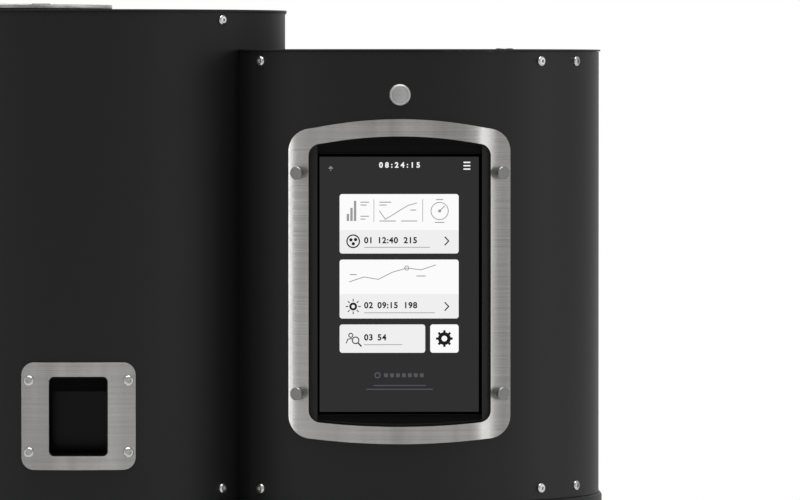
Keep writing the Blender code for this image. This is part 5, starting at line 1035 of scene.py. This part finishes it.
class ROASTER_OT_display(bpy.types.Operator):
    """Lays out a generic lit screen: plain cards, bars and simple marks, with no words"""

    bl_idname = "roaster.display"
    bl_label = "Display"

    def execute(self, context):
        low, high = corners(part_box("touchscreen"))
        self.centre = (low + high) / 2
        self.face = low.y
        self.panel("display_border", [(-69.0, -109.6, 69.0, 109.6)], 1, "border", 0)
        self.panel("display_ground", [(-67.2, -107.3, 66.5, 106.9)], 2, "ground", 0)
        self.panel("display_cards", CARDS, 3, "white", 2.2)
        self.panel("display_strips", STRIPS, 4, "pale", 2.2)
        dressed(gather(*[self.figures(*row, 5) for row in FIGURES]), "ink").name = "display_figures"
        self.panel("display_notes", NOTES, 5, "grey", 0.4)
        self.panel("display_footnotes", FOOTNOTES, 3, "dim", 0.4)
        dressed(self.figures("08:24:15", 0, 99.8, 6.2, 3, "CENTER", 1.6), "white").name = "display_clock"
        self.charts()
        self.icons()
        self.status()
        return {"FINISHED"}

    def spot(self, x, z, layer):
        """A place before the glass, from millimetres from its middle."""
        place = self.centre + Vector((x, 0, z)) / 1000
        place.y = self.face - LAYER * layer
        return place

    def tile(self, name, edges, layer, corner):
        """A flat rounded rectangle."""
        left, bottom, right, top = edges
        place = self.spot((left + right) / 2, (bottom + top) / 2, layer)
        deselect()
        bpy.ops.mesh.primitive_plane_add(size=1, location=place, rotation=UPRIGHT)
        bpy.context.object.scale = ((right - left) / 1000, (top - bottom) / 1000, 1)
        obj = new(name)
        if corner:
            edit(obj)
            bpy.ops.mesh.select_all(action="SELECT")
            bpy.ops.mesh.bevel(offset=corner / 1000, segments=5, affect="VERTICES")
            leave()
        return obj

    def figures(self, digits, x, z, size, layer, align="LEFT", spread=1.12):
        """Plain digits in Blender's own typeface, made bold by a thirtieth of their size."""
        deselect()
        bpy.ops.object.text_add(location=self.spot(x, z, layer), rotation=UPRIGHT)
        row = bpy.context.object.data
        row.body, row.size, row.offset = digits, size / 1000, size / 30000
        row.space_character = spread
        row.align_x, row.align_y = align, "CENTER"
        bpy.ops.object.convert(target="MESH")
        return new("figures")

    def panel(self, name, table, layer, finish, corner):
        """Like tiles as one piece."""
        tiles = [self.tile(name, edges, layer, corner) for edges in table]
        return dressed(gather(*tiles), finish)

    def disc(self, name, x, z, radius, layer, hole=0.0):
        """A flat disc or ring."""
        sides = 32
        place = self.spot(x, z, layer)
        deselect()
        bpy.ops.mesh.primitive_circle_add(
            vertices=sides, radius=radius / 1000, fill_type="NGON", location=place, rotation=UPRIGHT
        )
        obj = new(name)
        if hole:
            edit(obj)
            bpy.ops.mesh.select_all(action="SELECT")
            bpy.ops.mesh.inset(thickness=(radius - hole) / 1000)
            bpy.ops.mesh.delete(type="FACE")
            leave()
        return obj

    def stroke(self, name, start, end, width, layer):
        """A straight line between two points, in millimetres from the middle."""
        start, end = Vector(start), Vector(end)
        way = end - start
        place = self.spot(*(start + end) / 2, layer)
        deselect()
        turn = (math.pi / 2, -math.atan2(way.y, way.x), 0)
        bpy.ops.mesh.primitive_plane_add(size=1, location=place, rotation=turn)
        bpy.context.object.scale = ((way.length + width) / 1000, width / 1000, 1)
        return new(name)

    def chain(self, name, points, width, layer):
        """A broken line through the points."""
        return [self.stroke(name, a, b, width, layer) for a, b in zip(points, points[1:])]

    def charts(self):
        """The bars, the roast and cooling curves and the gauge in the upper cards."""
        gauge = (33.6, 61.4)
        marks = [self.tile("bar", (x, 53, x + 2.0, 53 + height), 5, 0) for x, height in BARS]
        for x in (-21.6, 19.4):
            marks += self.chain("divider", [(x, 71.0), (x, 52.6)], 0.5, 5)
        marks += self.chain("roast_curve", ROAST_CURVE, 0.7, 5)
        marks.append(self.disc("gauge", *gauge, 7.6, 5, 6.9))
        marks += self.chain("pointer", [gauge, (37.6, 65.4)], 0.8, 6)
        marks.append(self.disc("pivot", *gauge, 1.3, 6))
        marks += self.chain("cool_curve", COOL_CURVE, 0.7, 5)
        marks.append(self.disc("marker", 6, 13.5, 2.1, 6, 1.4))
        dressed(gather(*marks), "grey").name = "display_charts"

    def icons(self):
        """Chevrons, a drum with beans, a lamp, a head with a lens, and a cog."""
        lamp, cog = Vector((-39.0, -18.8)), Vector((37.6, -45.8))
        marks = []
        for z in (36.2, -18.8):
            marks += self.chain("chevron", [(38.2, z + 3.2), (41.2, z), (38.2, z - 3.2)], 1.0, 6)
        marks.append(self.disc("drum", -39, 36.0, 5.8, 5, 4.7))
        marks += [self.disc("bean", x, z, 1.4, 5) for x, z in BEANS]
        marks.append(self.disc("lamp", *lamp, 3.3, 5, 1.5))
        marks += self.spokes("ray", lamp, 4.6, 0.8, 5)
        marks.append(self.disc("head", -41.0, -43.0, 2.1, 5, 1.3))
        marks += self.chain("shoulders", [(-44.8, -49.4), (-43.4, -46.2), (-40.4, -45.8)], 0.8, 5)
        marks.append(self.disc("lens", -37.0, -47.2, 3.2, 5, 2.3))
        marks += self.chain("grip", [(-35.0, -49.4), (-32.4, -52.0)], 1.2, 5)
        marks.append(self.disc("cog", *cog, 5.4, 5, 2.4))
        marks += self.spokes("tooth", cog, 4.4, 2.0, 6)
        dressed(gather(*marks), "ink").name = "display_icons"

    def status(self):
        """The signal and menu marks at the top, and the row of small marks at the foot."""
        signal = [self.tile("signal", (-59.6 + i, 97.0 + i, -56.0 - i, 97.8 + i), 3, 0) for i in (0.0, 1.0)]
        signal.append(self.tile("signal", (-58.2, 95.4, -57.4, 96.2), 3, 0))
        dressed(gather(*signal), "grey").name = "display_status"
        menu = [self.stroke("menu", (54.2, z), (58.8, z), 1.1, 3) for z in (102.2, 99.4, 96.6)]
        dressed(gather(*menu), "white").name = "display_menu"
        row = [self.disc("mark", -18.6, -76.6, 2.6, 3, 1.6)]
        row += [self.tile("mark", (x, -78.2, x + 3.2, -75.0), 3, 0.5) for x in range(-13, 20, 5)]
        dressed(gather(*row), "dim").name = "display_low_row"

    def spokes(self, name, centre, start, width, layer):
        """Eight short lines evenly spread round a centre."""
        count, end = 8, 6.0
        turns = [2 * math.pi * i / count for i in range(count)]
        ways = [Vector((math.cos(turn), math.sin(turn))) for turn in turns]
        return [self.stroke(name, centre + way * start, centre + way * end, width, layer) for way in ways]


class ROASTER_OT_button(bpy.types.Operator):
    """Models the power button's bright ring and its cap"""

    bl_idname = "roaster.button"
    bl_label = "Power button"

    def execute(self, context):
        low, high = corners(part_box("power_button_ring"))
        centre = (low + high) / 2
        length = high.y - low.y
        radius, bore, body, face = 0.009, 0.0066, 0.0078, 0.0018
        ring = [(bore, 0.0001), (bore + 0.0001, 0), (radius - 0.0016, 0.0001), (radius - 0.0008, 0.0004)]
        ring += [(radius - 0.0002, 0.0010), (radius, face), (body, face), (body, length), (bore, length)]
        made = spun("button_ring", ring, (centre.x, low.y, centre.z), "Y")
        dressed(made, "ring", replaces=["power_button_ring"], angle=60)
        cap_low, cap_high = corners(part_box("power_button_cap"))
        depth = cap_high.y - cap_low.y
        cap = [(0, 0.0002), (0.0060, 0.0001), (0.0064, 0), (0.0065, 0.0001), (0.0065, depth), (0, depth)]
        made = spun("button_cap", cap, (centre.x, cap_low.y, centre.z), "Y")
        dressed(made, "cap", "power_button", ["power_button_cap"])
        return {"FINISHED"}


class ROASTER_OT_lid(bpy.types.Operator):
    """Models the bean lid with its finger tab"""

    bl_idname = "roaster.lid"
    bl_label = "Bean lid"

    def execute(self, context):
        gasket_low, gasket_high = corners(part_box("inlet_gasket"))
        centre = (gasket_low + gasket_high) / 2
        low, high = corners(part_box("inlet_lid"))
        clear, lowered, radius, edge = 0.0010, 0.0023, 0.0870, 0.0006
        bottom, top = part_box("roaster_top_plate")[1][2] + clear, high.z - lowered
        middle_z = (bottom + top) / 2
        lid = cylinder("bean_lid", (centre.x, centre.y, middle_z), radius, top - bottom, vertices=192)
        half = 0.017
        tab_low = (low.x, centre.y - half, bottom + edge)
        tab = block("tab", tab_low, (centre.x - 0.05, centre.y + half, top - edge))
        bevel_edges(tab, 0.004, 6, lambda e: along(e, "Z") and middle(e).x < centre.x - 0.06)
        hinge = next(j for j in frame["record"]["behaviour"]["joints"] if j["name"] == "inlet_lid_hinge")
        pin = Vector(hinge["pos_m"])
        half = 0.015
        tongue_low = (centre.x - half, centre.y + 0.074, gasket_high.z + 0.0004)
        tongue = block("tongue", tongue_low, (centre.x + half, pin.y, top))
        knuckle_radius, pin_radius = 0.003, 0.0016
        knuckle = cylinder("knuckle", (centre.x, pin.y, pin.z), knuckle_radius, 2 * half, "X", 24)
        bevel_edges(lid, edge, 2, folded)
        unite(lid, tab, tongue, knuckle)
        seat = (gasket_high.x - gasket_low.x) / 2 + 0.0006
        depth = 0.0206
        seat_z = gasket_high.z + edge / 2 - depth / 2
        cut(lid, cylinder("seat", (centre.x, centre.y, seat_z), seat, depth, vertices=128))
        cut(lid, cylinder("bore", (centre.x, pin.y, pin.z), pin_radius, 0.1, "X", 24))
        # The lid's lightened steel is painted highlight
        dressed(lid, "lid", "lid", ["inlet_lid"])
        for node, finish in (
            ("inlet_gasket", "silicone"),
            ("lid_hinge_bracket", "screw"),
            ("lid_hinge_pin", "screw"),
            ("inlet_funnel", "brushed"),
        ):
            repaint(node, finish)
        return {"FINISHED"}


# The bean screen's rings of slots: radius and number
SLOT_RINGS = ((0.024, 6), (0.040, 10), (0.056, 15), (0.072, 20), (0.088, 25), (0.104, 30))
# Half the width of the tray's pouring opening
POUR_HALF = 0.020


class ROASTER_OT_cooling(bpy.types.Operator):
    """Models the cooling tray, its slotted screen, its gate and the stirrer"""

    bl_idname = "roaster.cooling"
    bl_label = "Cooling tray"

    def execute(self, context):
        low, high = corners(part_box("cooling_tray"))
        self.lip = (high.x - low.x) / 2
        self.wall = self.lip - 0.004
        self.centre = Vector(((low.x + high.x) / 2, high.y - self.lip, 0))
        self.low, self.rim = low.z, high.z
        self.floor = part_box("cooling_screen")[1][2]
        self.gate_low, self.gate_high = corners(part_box("cooling_gate"))
        self.tray()
        self.guides()
        self.spout()
        self.screen()
        self.gate()
        self.stirrer()
        return {"FINISHED"}

    def tray(self):
        """A deep-drawn pan: rounded foot, rolled rim, pouring opening and a hole for the fan's duct."""
        wall, low, rim, lip = self.wall, self.low, self.rim, self.lip
        inner = wall - 0.0015
        profile = [
            (0, low + 0.0015),
            (inner - 0.006, low + 0.0015),
            (inner - 0.0018, low + 0.0033),
            (inner, low + 0.0075),
            (inner, rim - 0.0020),
            (inner + 0.0005, rim - 0.0007),
            (wall + 0.0008, rim),
            (lip - 0.0010, rim),
            (lip - 0.0002, rim - 0.0004),
            (lip, rim - 0.0014),
            (lip - 0.0004, rim - 0.0032),
            (lip - 0.0014, rim - 0.0038),
            (wall + 0.0006, rim - 0.0034),
            (wall, rim - 0.0042),
            (wall, low + 0.0070),
            (wall - 0.0020, low + 0.0020),
            (wall - 0.0070, low),
            (0, low),
        ]
        tray = spun("cooling_pan", profile, self.centre, steps=160)
        x, front = self.centre.x, self.centre.y - wall
        depth, height, notch, duct_radius = 0.03, 0.034, 0.0265, 0.0365
        opening_low = (x - POUR_HALF, front - depth, self.floor)
        opening_high = (x + POUR_HALF, front + depth, self.floor + height)
        opening = rounded_block("opening", opening_low, opening_high, 0.003)
        notch_high = (x + notch, self.centre.y - wall * 0.974, rim + OVER)
        gap = block("notch", (x - notch, front - 2 * OVER, rim - 0.006), notch_high)
        duct = centre_of(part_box("cooling_fan_duct"))
        cut(tray, opening, gap, cylinder("fan", (duct.x, duct.y, low), duct_radius, 2 * OVER, vertices=64))
        dressed(tray, "brushed", replaces=["cooling_tray"])

    def guides(self):
        """The two upright rails that the gate slides between."""
        half, wall = 0.0030, self.wall
        guide_low = (-half, -wall - 0.0045, self.gate_low.z)
        guide = rounded_block("template", guide_low, (half, -wall + 0.0008, self.gate_high.z), 0.0012, "Z")
        swing = math.asin(0.0297 / (wall + 0.0025))
        places = [Matrix.Translation(self.centre) @ Matrix.Rotation(turn, 4, "Z") for turn in (-swing, swing)]
        guides = row_of(guide, "gate_guides", places)
        drop(guide)
        dressed(guides, "screw")

    def spout(self):
        """The lip under the gate that the beans pour over."""
        x, front = self.centre.x, self.centre.y - self.wall
        top = self.gate_low.z - 0.0005
        spout_low = (x - POUR_HALF, front - 0.012, top - 0.002)
        spout = block("pouring_spout", spout_low, (x + POUR_HALF, front + 0.006, top))
        bevel_edges(spout, 0.006, 6, lambda e: along(e, "Z") and middle(e).y < front)
        limit(spout, block("outside", (x - 0.1, front - 0.1, 0), (x + 0.1, front + 0.0016, ABOVE)))
        dressed(spout, "brushed")

    def screen(self):
        """The slotted sheet that the beans lie on."""
        low, high = corners(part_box("cooling_screen"))
        centre = (*self.centre.xy, (low.z + high.z) / 2)
        sheet = cylinder("bean_screen", centre, (high.x - low.x) / 2, high.z - low.z, vertices=160)
        half = Vector((0.0075, 0.0019, 0.004))
        slot = rounded_block("template", -half, half, 0.00185, "Z", 4)
        quarter = Matrix.Rotation(math.pi / 2, 4, "Z")
        middle_top = Matrix.Translation((*self.centre.xy, high.z))
        slots = []
        for ring, count in SLOT_RINGS:
            for i in range(count):
                turn = Matrix.Rotation(2 * math.pi * i / count, 4, "Z")
                slots.append(middle_top @ turn @ Matrix.Translation((ring, 0, 0)) @ quarter)
        punches = row_of(slot, "slot", slots)
        drop(slot)
        cut(sheet, punches, cylinder("shaft", (*self.centre.xy, high.z), 0.0045, 2 * OVER, vertices=32))
        dressed(sheet, "drawn", replaces=["cooling_screen"])

    def gate(self):
        """The bent sliding plate, and its knob on a waisted stem."""
        low, high = self.gate_low, self.gate_high
        x, y = self.centre.x, self.centre.y
        outline = rounded_block("outline", (low.x, y - 0.2, low.z), (high.x, y, high.z), 0.0025)
        plate = bent_plate("pouring_gate", x, 0.0005, 0.002, outline, y=y, radius=self.wall)
        dressed(plate, "brushed", "gate", ["cooling_gate"])
        face = y - self.wall - 0.0025
        tip = low.y - face
        profile = [
            (0, tip),
            (0.0050, tip),
            (0.0066, tip + 0.0005),
            (0.0077, tip + 0.0016),
            (0.0080, tip + 0.0030),
            (0.0077, tip + 0.0048),
            (0.0062, tip + 0.0074),
            (0.0047, -0.0080),
            (0.0042, -0.0050),
            (0.0046, -0.0020),
            (0.0062, -0.0006),
            (0.0062, 0.0006),
            (0, 0.0006),
        ]
        dressed(spun("gate_knob", profile, (x, face, (low.z + high.z) / 2), "Y", 48), "moulded", "gate")

    def stirrer(self):
        """A turned hub held by a nut, with three tilted blades just over the screen."""
        low, high = corners(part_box("stirrer"))
        x, y = self.centre.xy
        start, top, blade_count = self.floor + 0.0018, high.z, 3
        profile = [
            (0, start),
            (0.0105, start),
            (0.0110, start + 0.0005),
            (0.0110, top - 0.0110),
            (0.0104, top - 0.0100),
            (0.0078, top - 0.0096),
            (0.0078, top - 0.0080),
            (0, top - 0.0080),
        ]
        hub = spun("stirrer_hub", profile, (x, y, 0), steps=64)
        nut = cylinder("nut", (x, y, top - 0.0055), 0.0062, 0.0050, vertices=6)
        stud = cylinder("stud", (x, y, top - 0.0027), 0.0030, 0.0054, vertices=32)
        shaft_z, shaft_length = (low.z + start) / 2 + 0.001, start - low.z + 0.002
        unite(hub, nut, stud, cylinder("shaft", (x, y, shaft_z), 0.0040, shaft_length, vertices=32))
        reach, thick, tall = 0.110, 0.003, 0.012
        blade = block("template", (0.0055, -thick / 2, -tall / 2), (reach, thick / 2, tall / 2))
        bevel_edges(blade, 0.005, 6, lambda e: along(e, "Y") and middle(e).x > reach - 0.001)
        bevel_edges(blade, 0.0004, 2, folded)
        place = Matrix.Translation((x, y, self.floor + 0.0095))
        tilt = Matrix.Rotation(math.radians(25), 4, "X")
        turns = [Matrix.Rotation(2 * math.pi * i / blade_count, 4, "Z") for i in range(blade_count)]
        blades = [copy_of(blade, "blade", place @ turn @ tilt) for turn in turns]
        drop(blade)
        dressed(unite(hub, *blades), "drawn", "stirring_arm", ["stirrer"])


class ROASTER_OT_chaff_drawer(bpy.types.Operator):
    """Models the chaff drawer's bent front and its bow handle"""

    bl_idname = "roaster.chaff_drawer"
    bl_label = "Chaff drawer"

    def execute(self, context):
        low, high = corners(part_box("chaff_drawer_front"))
        outline = rounded_block("outline", (low.x, FRONT, low.z), (high.x, AXIS_Y, high.z), 0.003)
        sheet = 0.002
        plate = bent_plate("drawer_face", CONTROL_X, BASE_RADIUS - RADIUS - sheet, sheet, outline)
        soften_rim(plate, 0.0006)
        dressed(plate, "coat", "drawer", ["chaff_drawer_front"])
        low, high = corners(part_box("chaff_drawer_handle"))
        radius, z, back = (high.z - low.z) / 2, (low.z + high.z) / 2, high.y
        left, right, front = low.x + radius, high.x - radius, low.y + radius
        places = [(left, back, z), (left, front, z), (right, front, z), (right, back, z)]
        handle = bent_rod("drawer_bow_handle", places, 0.012, radius)
        # The handle takes the same darkened steel, painted reflection of the bezel's recess
        dressed(handle, "stud", "drawer", ["chaff_drawer_handle"])
        return {"FINISHED"}


class ROASTER_OT_rear(bpy.types.Operator):
    """Models the exhaust collar, the louvres' hoods, the mains inlet and the feet"""

    bl_idname = "roaster.rear"
    bl_label = "Rear and feet"

    def execute(self, context):
        self.spigot()
        self.louvres()
        self.mains_inlet()
        self.feet()
        return {"FINISHED"}

    def spigot(self):
        """A flanged pipe end with a rolled bead for the hose."""
        low, high = corners(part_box("exhaust_collar"))
        centre = (low + high) / 2
        length = high.y - low.y
        flange = (high.x - low.x) / 2
        tube = flange - 0.010
        bore = tube - 0.0015
        profile = [
            (bore, 0),
            (flange - 0.0004, 0),
            (flange, 0.0004),
            (flange, 0.0016),
            (flange - 0.0004, 0.0020),
            (tube + 0.0020, 0.0020),
            (tube + 0.0006, 0.0026),
            (tube, 0.0040),
            (tube, length - 0.0120),
            (tube + 0.0012, length - 0.0108),
            (tube + 0.0016, length - 0.0090),
            (tube + 0.0012, length - 0.0072),
            (tube, length - 0.0060),
            (tube, length - 0.0004),
            (tube - 0.0004, length),
            (bore, length - 0.0002),
        ]
        collar = spun("exhaust_spigot", profile, (centre.x, low.y, centre.z), "Y", 128)
        dressed(collar, "zinc", replaces=["exhaust_collar"])

    def louvres(self):
        """A pressed hood over each slot of the rear panel and of the base, open at its lower side."""
        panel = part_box("rear_panel")[1][1]
        rows = [(x, PANEL_SLOT_HALF, panel, z) for x in (ROASTER_X, CONTROL_X) for z in PANEL_SLOTS]
        rows += [(ROASTER_X, BASE_SLOT_HALF, BASE_HIGH.y, z + BASE_SLOT_HEIGHT / 2) for z in BASE_SLOTS]
        sheet = 0.002
        hoods = []
        for x, half, y, z in rows:
            outer = half + sheet
            hood = block("hood", (x - outer, y - 0.0004, z - 0.0020), (x + outer, y + 0.0042, z + 0.0055))
            bevel_edges(hood, 0.0036, 5, lambda e: along(e, "X") and middle(e).y > y and middle(e).z > z)
            bevel_edges(hood, 0.0030, 4, lambda e: along(e, "Z") and middle(e).y > y)
            cut(hood, block("under", (x - half, y - OVER, z - OVER), (x + half, y + 0.0032, z + 0.0030)))
            hoods.append(hood)
        dressed(gather(*hoods), "coat").name = "louvre_hoods"

    def mains_inlet(self):
        """A socket with two chamfered corners and three pins."""
        low, high = corners(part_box("mains_inlet"))
        centre = (low + high) / 2
        x, z, face = centre.x, centre.z, high.y
        flange = rounded_block("mains_socket", (low.x, face - 0.003, low.z), (high.x, face, high.z), 0.003)
        bevel_edges(flange, 0.0006, 2, lambda e: folded(e) and middle(e).y > face - TINY)
        half_x, half_z, wall = 0.0135, 0.010, 0.002
        body = block("body", (x - half_x, low.y, z - half_z), (x + half_x, face - 0.0015, z + half_z))
        half_x, half_z = half_x - wall, half_z - wall
        recess_low = (x - half_x, face - 0.016, z - half_z)
        recess = block("recess", recess_low, (x + half_x, face + OVER, z + half_z))
        bevel_edges(recess, 0.0035, 1, lambda e: along(e, "Y") and middle(e).z > z)
        dressed(cut(unite(flange, body), recess), "moulded", replaces=["mains_inlet"])
        half_x, half_z = 0.001, 0.002
        pins = []
        for dx, dz in ((-0.007, -0.002), (0, 0.002), (0.007, -0.002)):
            pin_low = (x + dx - half_x, face - 0.0165, z + dz - half_z)
            pin = block("mains_pins", pin_low, (x + dx + half_x, face - 0.004, z + dz + half_z))
            pins.append(bevel_edges(pin, 0.0005, 2, lambda e: middle(e).y > face - 0.0045))
        dressed(gather(*pins), "screw")

    def feet(self):
        """Turned rubber feet with a groove."""
        low, high = corners(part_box("foot_1"))
        radius, height = (high.x - low.x) / 2, high.z
        profile = [
            (0, 0),
            (radius - 0.0035, 0),
            (radius - 0.0022, 0.0006),
            (radius - 0.0014, 0.0022),
            (radius - 0.0004, 0.0150),
            (radius - 0.0014, 0.0160),
            (radius - 0.0014, 0.0172),
            (radius - 0.0002, 0.0182),
            (radius, height - 0.0020),
            (radius - 0.0010, height - 0.0006),
            (0, height - 0.0006),
        ]
        foot = spun("template", profile, (0, 0, 0), steps=64)
        for number in range(1, 5):
            centre = centre_of(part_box(f"foot_{number}"))
            made = copy_of(foot, f"rubber_foot_{number}", Matrix.Translation((centre.x, centre.y, 0)))
            dressed(made, "rubber", replaces=[f"foot_{number}"])
        drop(foot)


# Heights of the screws' lower row and of each upper row, and the angles that they stand at on the fronts
LOW_ROW = 0.3600
TOP_ROWS = {"roaster": 0.7552, "control": 0.7206, "rear": 0.7160}
SCREW_ANGLES = {"roaster": (-61, -44, 43.7), "control": (-41.6, 43.2, 59.7)}
REAR_SCREWS_X = (-0.2625, -0.135, -0.012, 0.135, 0.2625)


class ROASTER_OT_screws(bpy.types.Operator):
    """Sets the button-head screws along the edges of both towers and of the rear panel"""

    bl_idname = "roaster.screws"
    bl_label = "Tower screws"

    def execute(self, context):
        sizes = context.scene.roaster_sizes
        template = button_screw("template", sizes.screw_radius, sizes.screw_height)
        for tower, x in AXIS_X.items():
            heights = (LOW_ROW, TOP_ROWS[tower])
            places = [on_lobe(x, angle, RADIUS, z) for z in heights for angle in SCREW_ANGLES[tower]]
            dressed(row_of(template, f"{tower}_tower_screws", places), None)
        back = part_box("rear_panel")[1][1]
        turn = Matrix.Rotation(-math.pi / 2, 4, "X")
        heights = (LOW_ROW, TOP_ROWS["rear"])
        places = [Matrix.Translation((x, back, z)) @ turn for x in REAR_SCREWS_X for z in heights]
        dressed(row_of(template, "rear_panel_screws", places), None)
        drop(template)
        return {"FINISHED"}


class ROASTER_OT_finishes(bpy.types.Operator):
    """Gives the CAD nodes that stay in view their real materials"""

    bl_idname = "roaster.finishes"
    bl_label = "Inner finishes"

    def execute(self, context):
        table = {
            "zinc": [
                "base_floor",
                "drum_jacket",
                "chaff_cyclone",
                "exhaust_duct",
                "chaff_drawer",
                "power_supply",
            ],
            "coat": ["rear_panel", "cooling_bay"],
            "drum": [
                "drum_front_plate",
                "drum_rear_plate",
                "drum",
                "drum_vanes",
                "drum_shaft",
                "discharge_chute",
                "discharge_flap",
            ],
            "cast": ["drum_pulley", "front_bearing", "rear_bearing", "motor_pulley", "blower_housing"],
            "motor": ["drum_motor", "stirrer_motor", "blower_motor"],
            "moulded": ["cooling_fan_duct", "cooling_fan", "blower_impeller"],
            "rubber": ["drive_belt"],
            "sheath": ["heater"],
            "board": ["control_board"],
        }
        for finish, nodes in table.items():
            for node in nodes:
                repaint(node, finish)
        return {"FINISHED"}


class ROASTER_OT_stage(bpy.types.Operator):
    """Sets the pale floor, the soft studio lamps, the white surroundings and the camera"""

    bl_idname = "roaster.stage"
    bl_label = "Stage"

    def execute(self, context):
        scene = context.scene
        scene.view_settings.view_transform = "Standard"
        self.floor()
        self.world(scene)
        self.lamps()
        self.camera(scene)
        return {"FINISHED"}

    def floor(self):
        """Pale paper that takes the machine's shadow."""
        deselect()
        bpy.ops.mesh.primitive_plane_add(size=8, location=(0, 0, 0))
        floor = new("floor")
        paper = new_material("matt studio paper", linear("#E6E6E6"), 0, 0.9)
        floor.data.materials.append(paper)

    def world(self, scene):
        """White to the camera and where a surface mirrors the backdrop, and a soft grey elsewhere."""
        world = bpy.data.worlds.new("white studio")
        world.use_nodes = True
        scene.world = world
        tree = world.node_tree
        tree.nodes.clear()
        path = add_node(tree, "ShaderNodeLightPath")
        seen = add_node(tree, "ShaderNodeBackground", inputs={"Color": (1, 1, 1, 1), "Strength": 1.0})
        way = add_node(tree, "ShaderNodeTexCoord")
        split = add_node(tree, "ShaderNodeSeparateXYZ", links={"Vector": way.outputs["Generated"]})
        backdrop = add_node(
            tree,
            "ShaderNodeMapRange",
            {"interpolation_type": "SMOOTHSTEP"},
            {"From Min": 0.80, "From Max": 0.99, "To Min": 0.395, "To Max": 1.0},
            {"Value": split.outputs["Y"]},
        )
        light = add_node(
            tree,
            "ShaderNodeBackground",
            inputs={"Color": (1, 1, 1, 1)},
            links={"Strength": backdrop.outputs["Result"]},
        )
        shown = add_node(
            tree,
            "ShaderNodeMath",
            {"operation": "MAXIMUM"},
            links={0: path.outputs["Is Camera Ray"], 1: path.outputs["Is Transmission Ray"]},
        )
        mixed = add_node(
            tree,
            "ShaderNodeMixShader",
            links={0: shown.outputs[0], 1: light.outputs[0], 2: seen.outputs[0]},
        )
        add_node(tree, "ShaderNodeOutputWorld", links={"Surface": mixed.outputs[0]})

    def lamp(self, name, place, target, size, power):
        """A rectangular lamp turned to its target."""
        data = bpy.data.lights.new(name, "AREA")
        data.shape = "RECTANGLE"
        data.size, data.size_y = size
        data.energy = power
        obj = bpy.data.objects.new(name, data)
        bpy.context.scene.collection.objects.link(obj)
        obj.location = place
        obj.rotation_euler = (Vector(target) - Vector(place)).to_track_quat("-Z", "Y").to_euler()

    def lamps(self):
        target = (0, 0, 0.5)
        self.lamp("left strip light", (-3.595, -2.045, 1.0), target, (0.25, 3.0), 7)
        self.lamp("right strip light", (3.14, -2.62, 0.9), target, (0.60, 2.6), 6)
        self.lamp("right softbox", (3.9, -0.3, 0.7), target, (1.6, 2.4), 11)
        self.lamp("overhead softbox", (0, -0.8, 3.6), target, (3.0, 2.0), 100)

    def camera(self, scene):
        """A long lens on the towers' middle, raised to just under their tops and aimed at the picture's
        middle. All in pixels of the picture but the place: the focal length, the picture's width and middle,
        and where the towers' middle and the lens's level lie in it."""
        focal, width = 7200, 800
        middle_x, middle_y = 400, 250
        towers_x, level_y = 238.75, 70
        distance, height = 6.2, 0.713
        data = bpy.data.cameras.new("camera")
        data.sensor_width = 36
        data.lens = focal / width * data.sensor_width
        data.clip_end = 50
        obj = bpy.data.objects.new("camera", data)
        scene.collection.objects.link(obj)
        obj.location = (0, AXIS_Y - distance, height)
        aim = Vector((middle_x - towers_x, focal, level_y - middle_y))
        obj.rotation_euler = aim.to_track_quat("-Z", "Y").to_euler()
        scene.camera = obj


class ROASTER_PT_panel(bpy.types.Panel):
    """Lists the roaster's operators and sizes"""

    bl_idname = "ROASTER_PT_panel"
    bl_label = "Coffee roaster"
    bl_space_type = "VIEW_3D"
    bl_region_type = "UI"
    bl_category = "Roaster"

    def draw(self, context):
        for operator in OPERATORS:
            self.layout.operator(operator.bl_idname)
        for group in (context.scene.roaster_sizes, context.scene.roaster_colours):
            box = self.layout.box()
            for name in group.__annotations__:
                box.prop(group, name)


OPERATORS = (
    ROASTER_OT_towers,
    ROASTER_OT_base,
    ROASTER_OT_window,
    ROASTER_OT_screen,
    ROASTER_OT_display,
    ROASTER_OT_button,
    ROASTER_OT_lid,
    ROASTER_OT_cooling,
    ROASTER_OT_chaff_drawer,
    ROASTER_OT_rear,
    ROASTER_OT_screws,
    ROASTER_OT_finishes,
    ROASTER_OT_stage,
)
CLASSES = (RoasterSizes, RoasterColours, *OPERATORS, ROASTER_PT_panel)


def register():
    """Registers the classes and hangs the sizes and colours on the scene."""
    for cls in CLASSES:
        bpy.utils.register_class(cls)
    bpy.types.Scene.roaster_sizes = PointerProperty(type=RoasterSizes)
    bpy.types.Scene.roaster_colours = PointerProperty(type=RoasterColours)


def unregister():
    """Undoes register."""
    del bpy.types.Scene.roaster_sizes
    del bpy.types.Scene.roaster_colours
    for cls in reversed(CLASSES):
        bpy.utils.unregister_class(cls)


def main():
    """Models all pieces."""
    register()
    make_finishes()
    for operator in OPERATORS:
        group, name = operator.bl_idname.split(".")
        getattr(getattr(bpy.ops, group), name)()


if __name__ == "__main__":
    main()
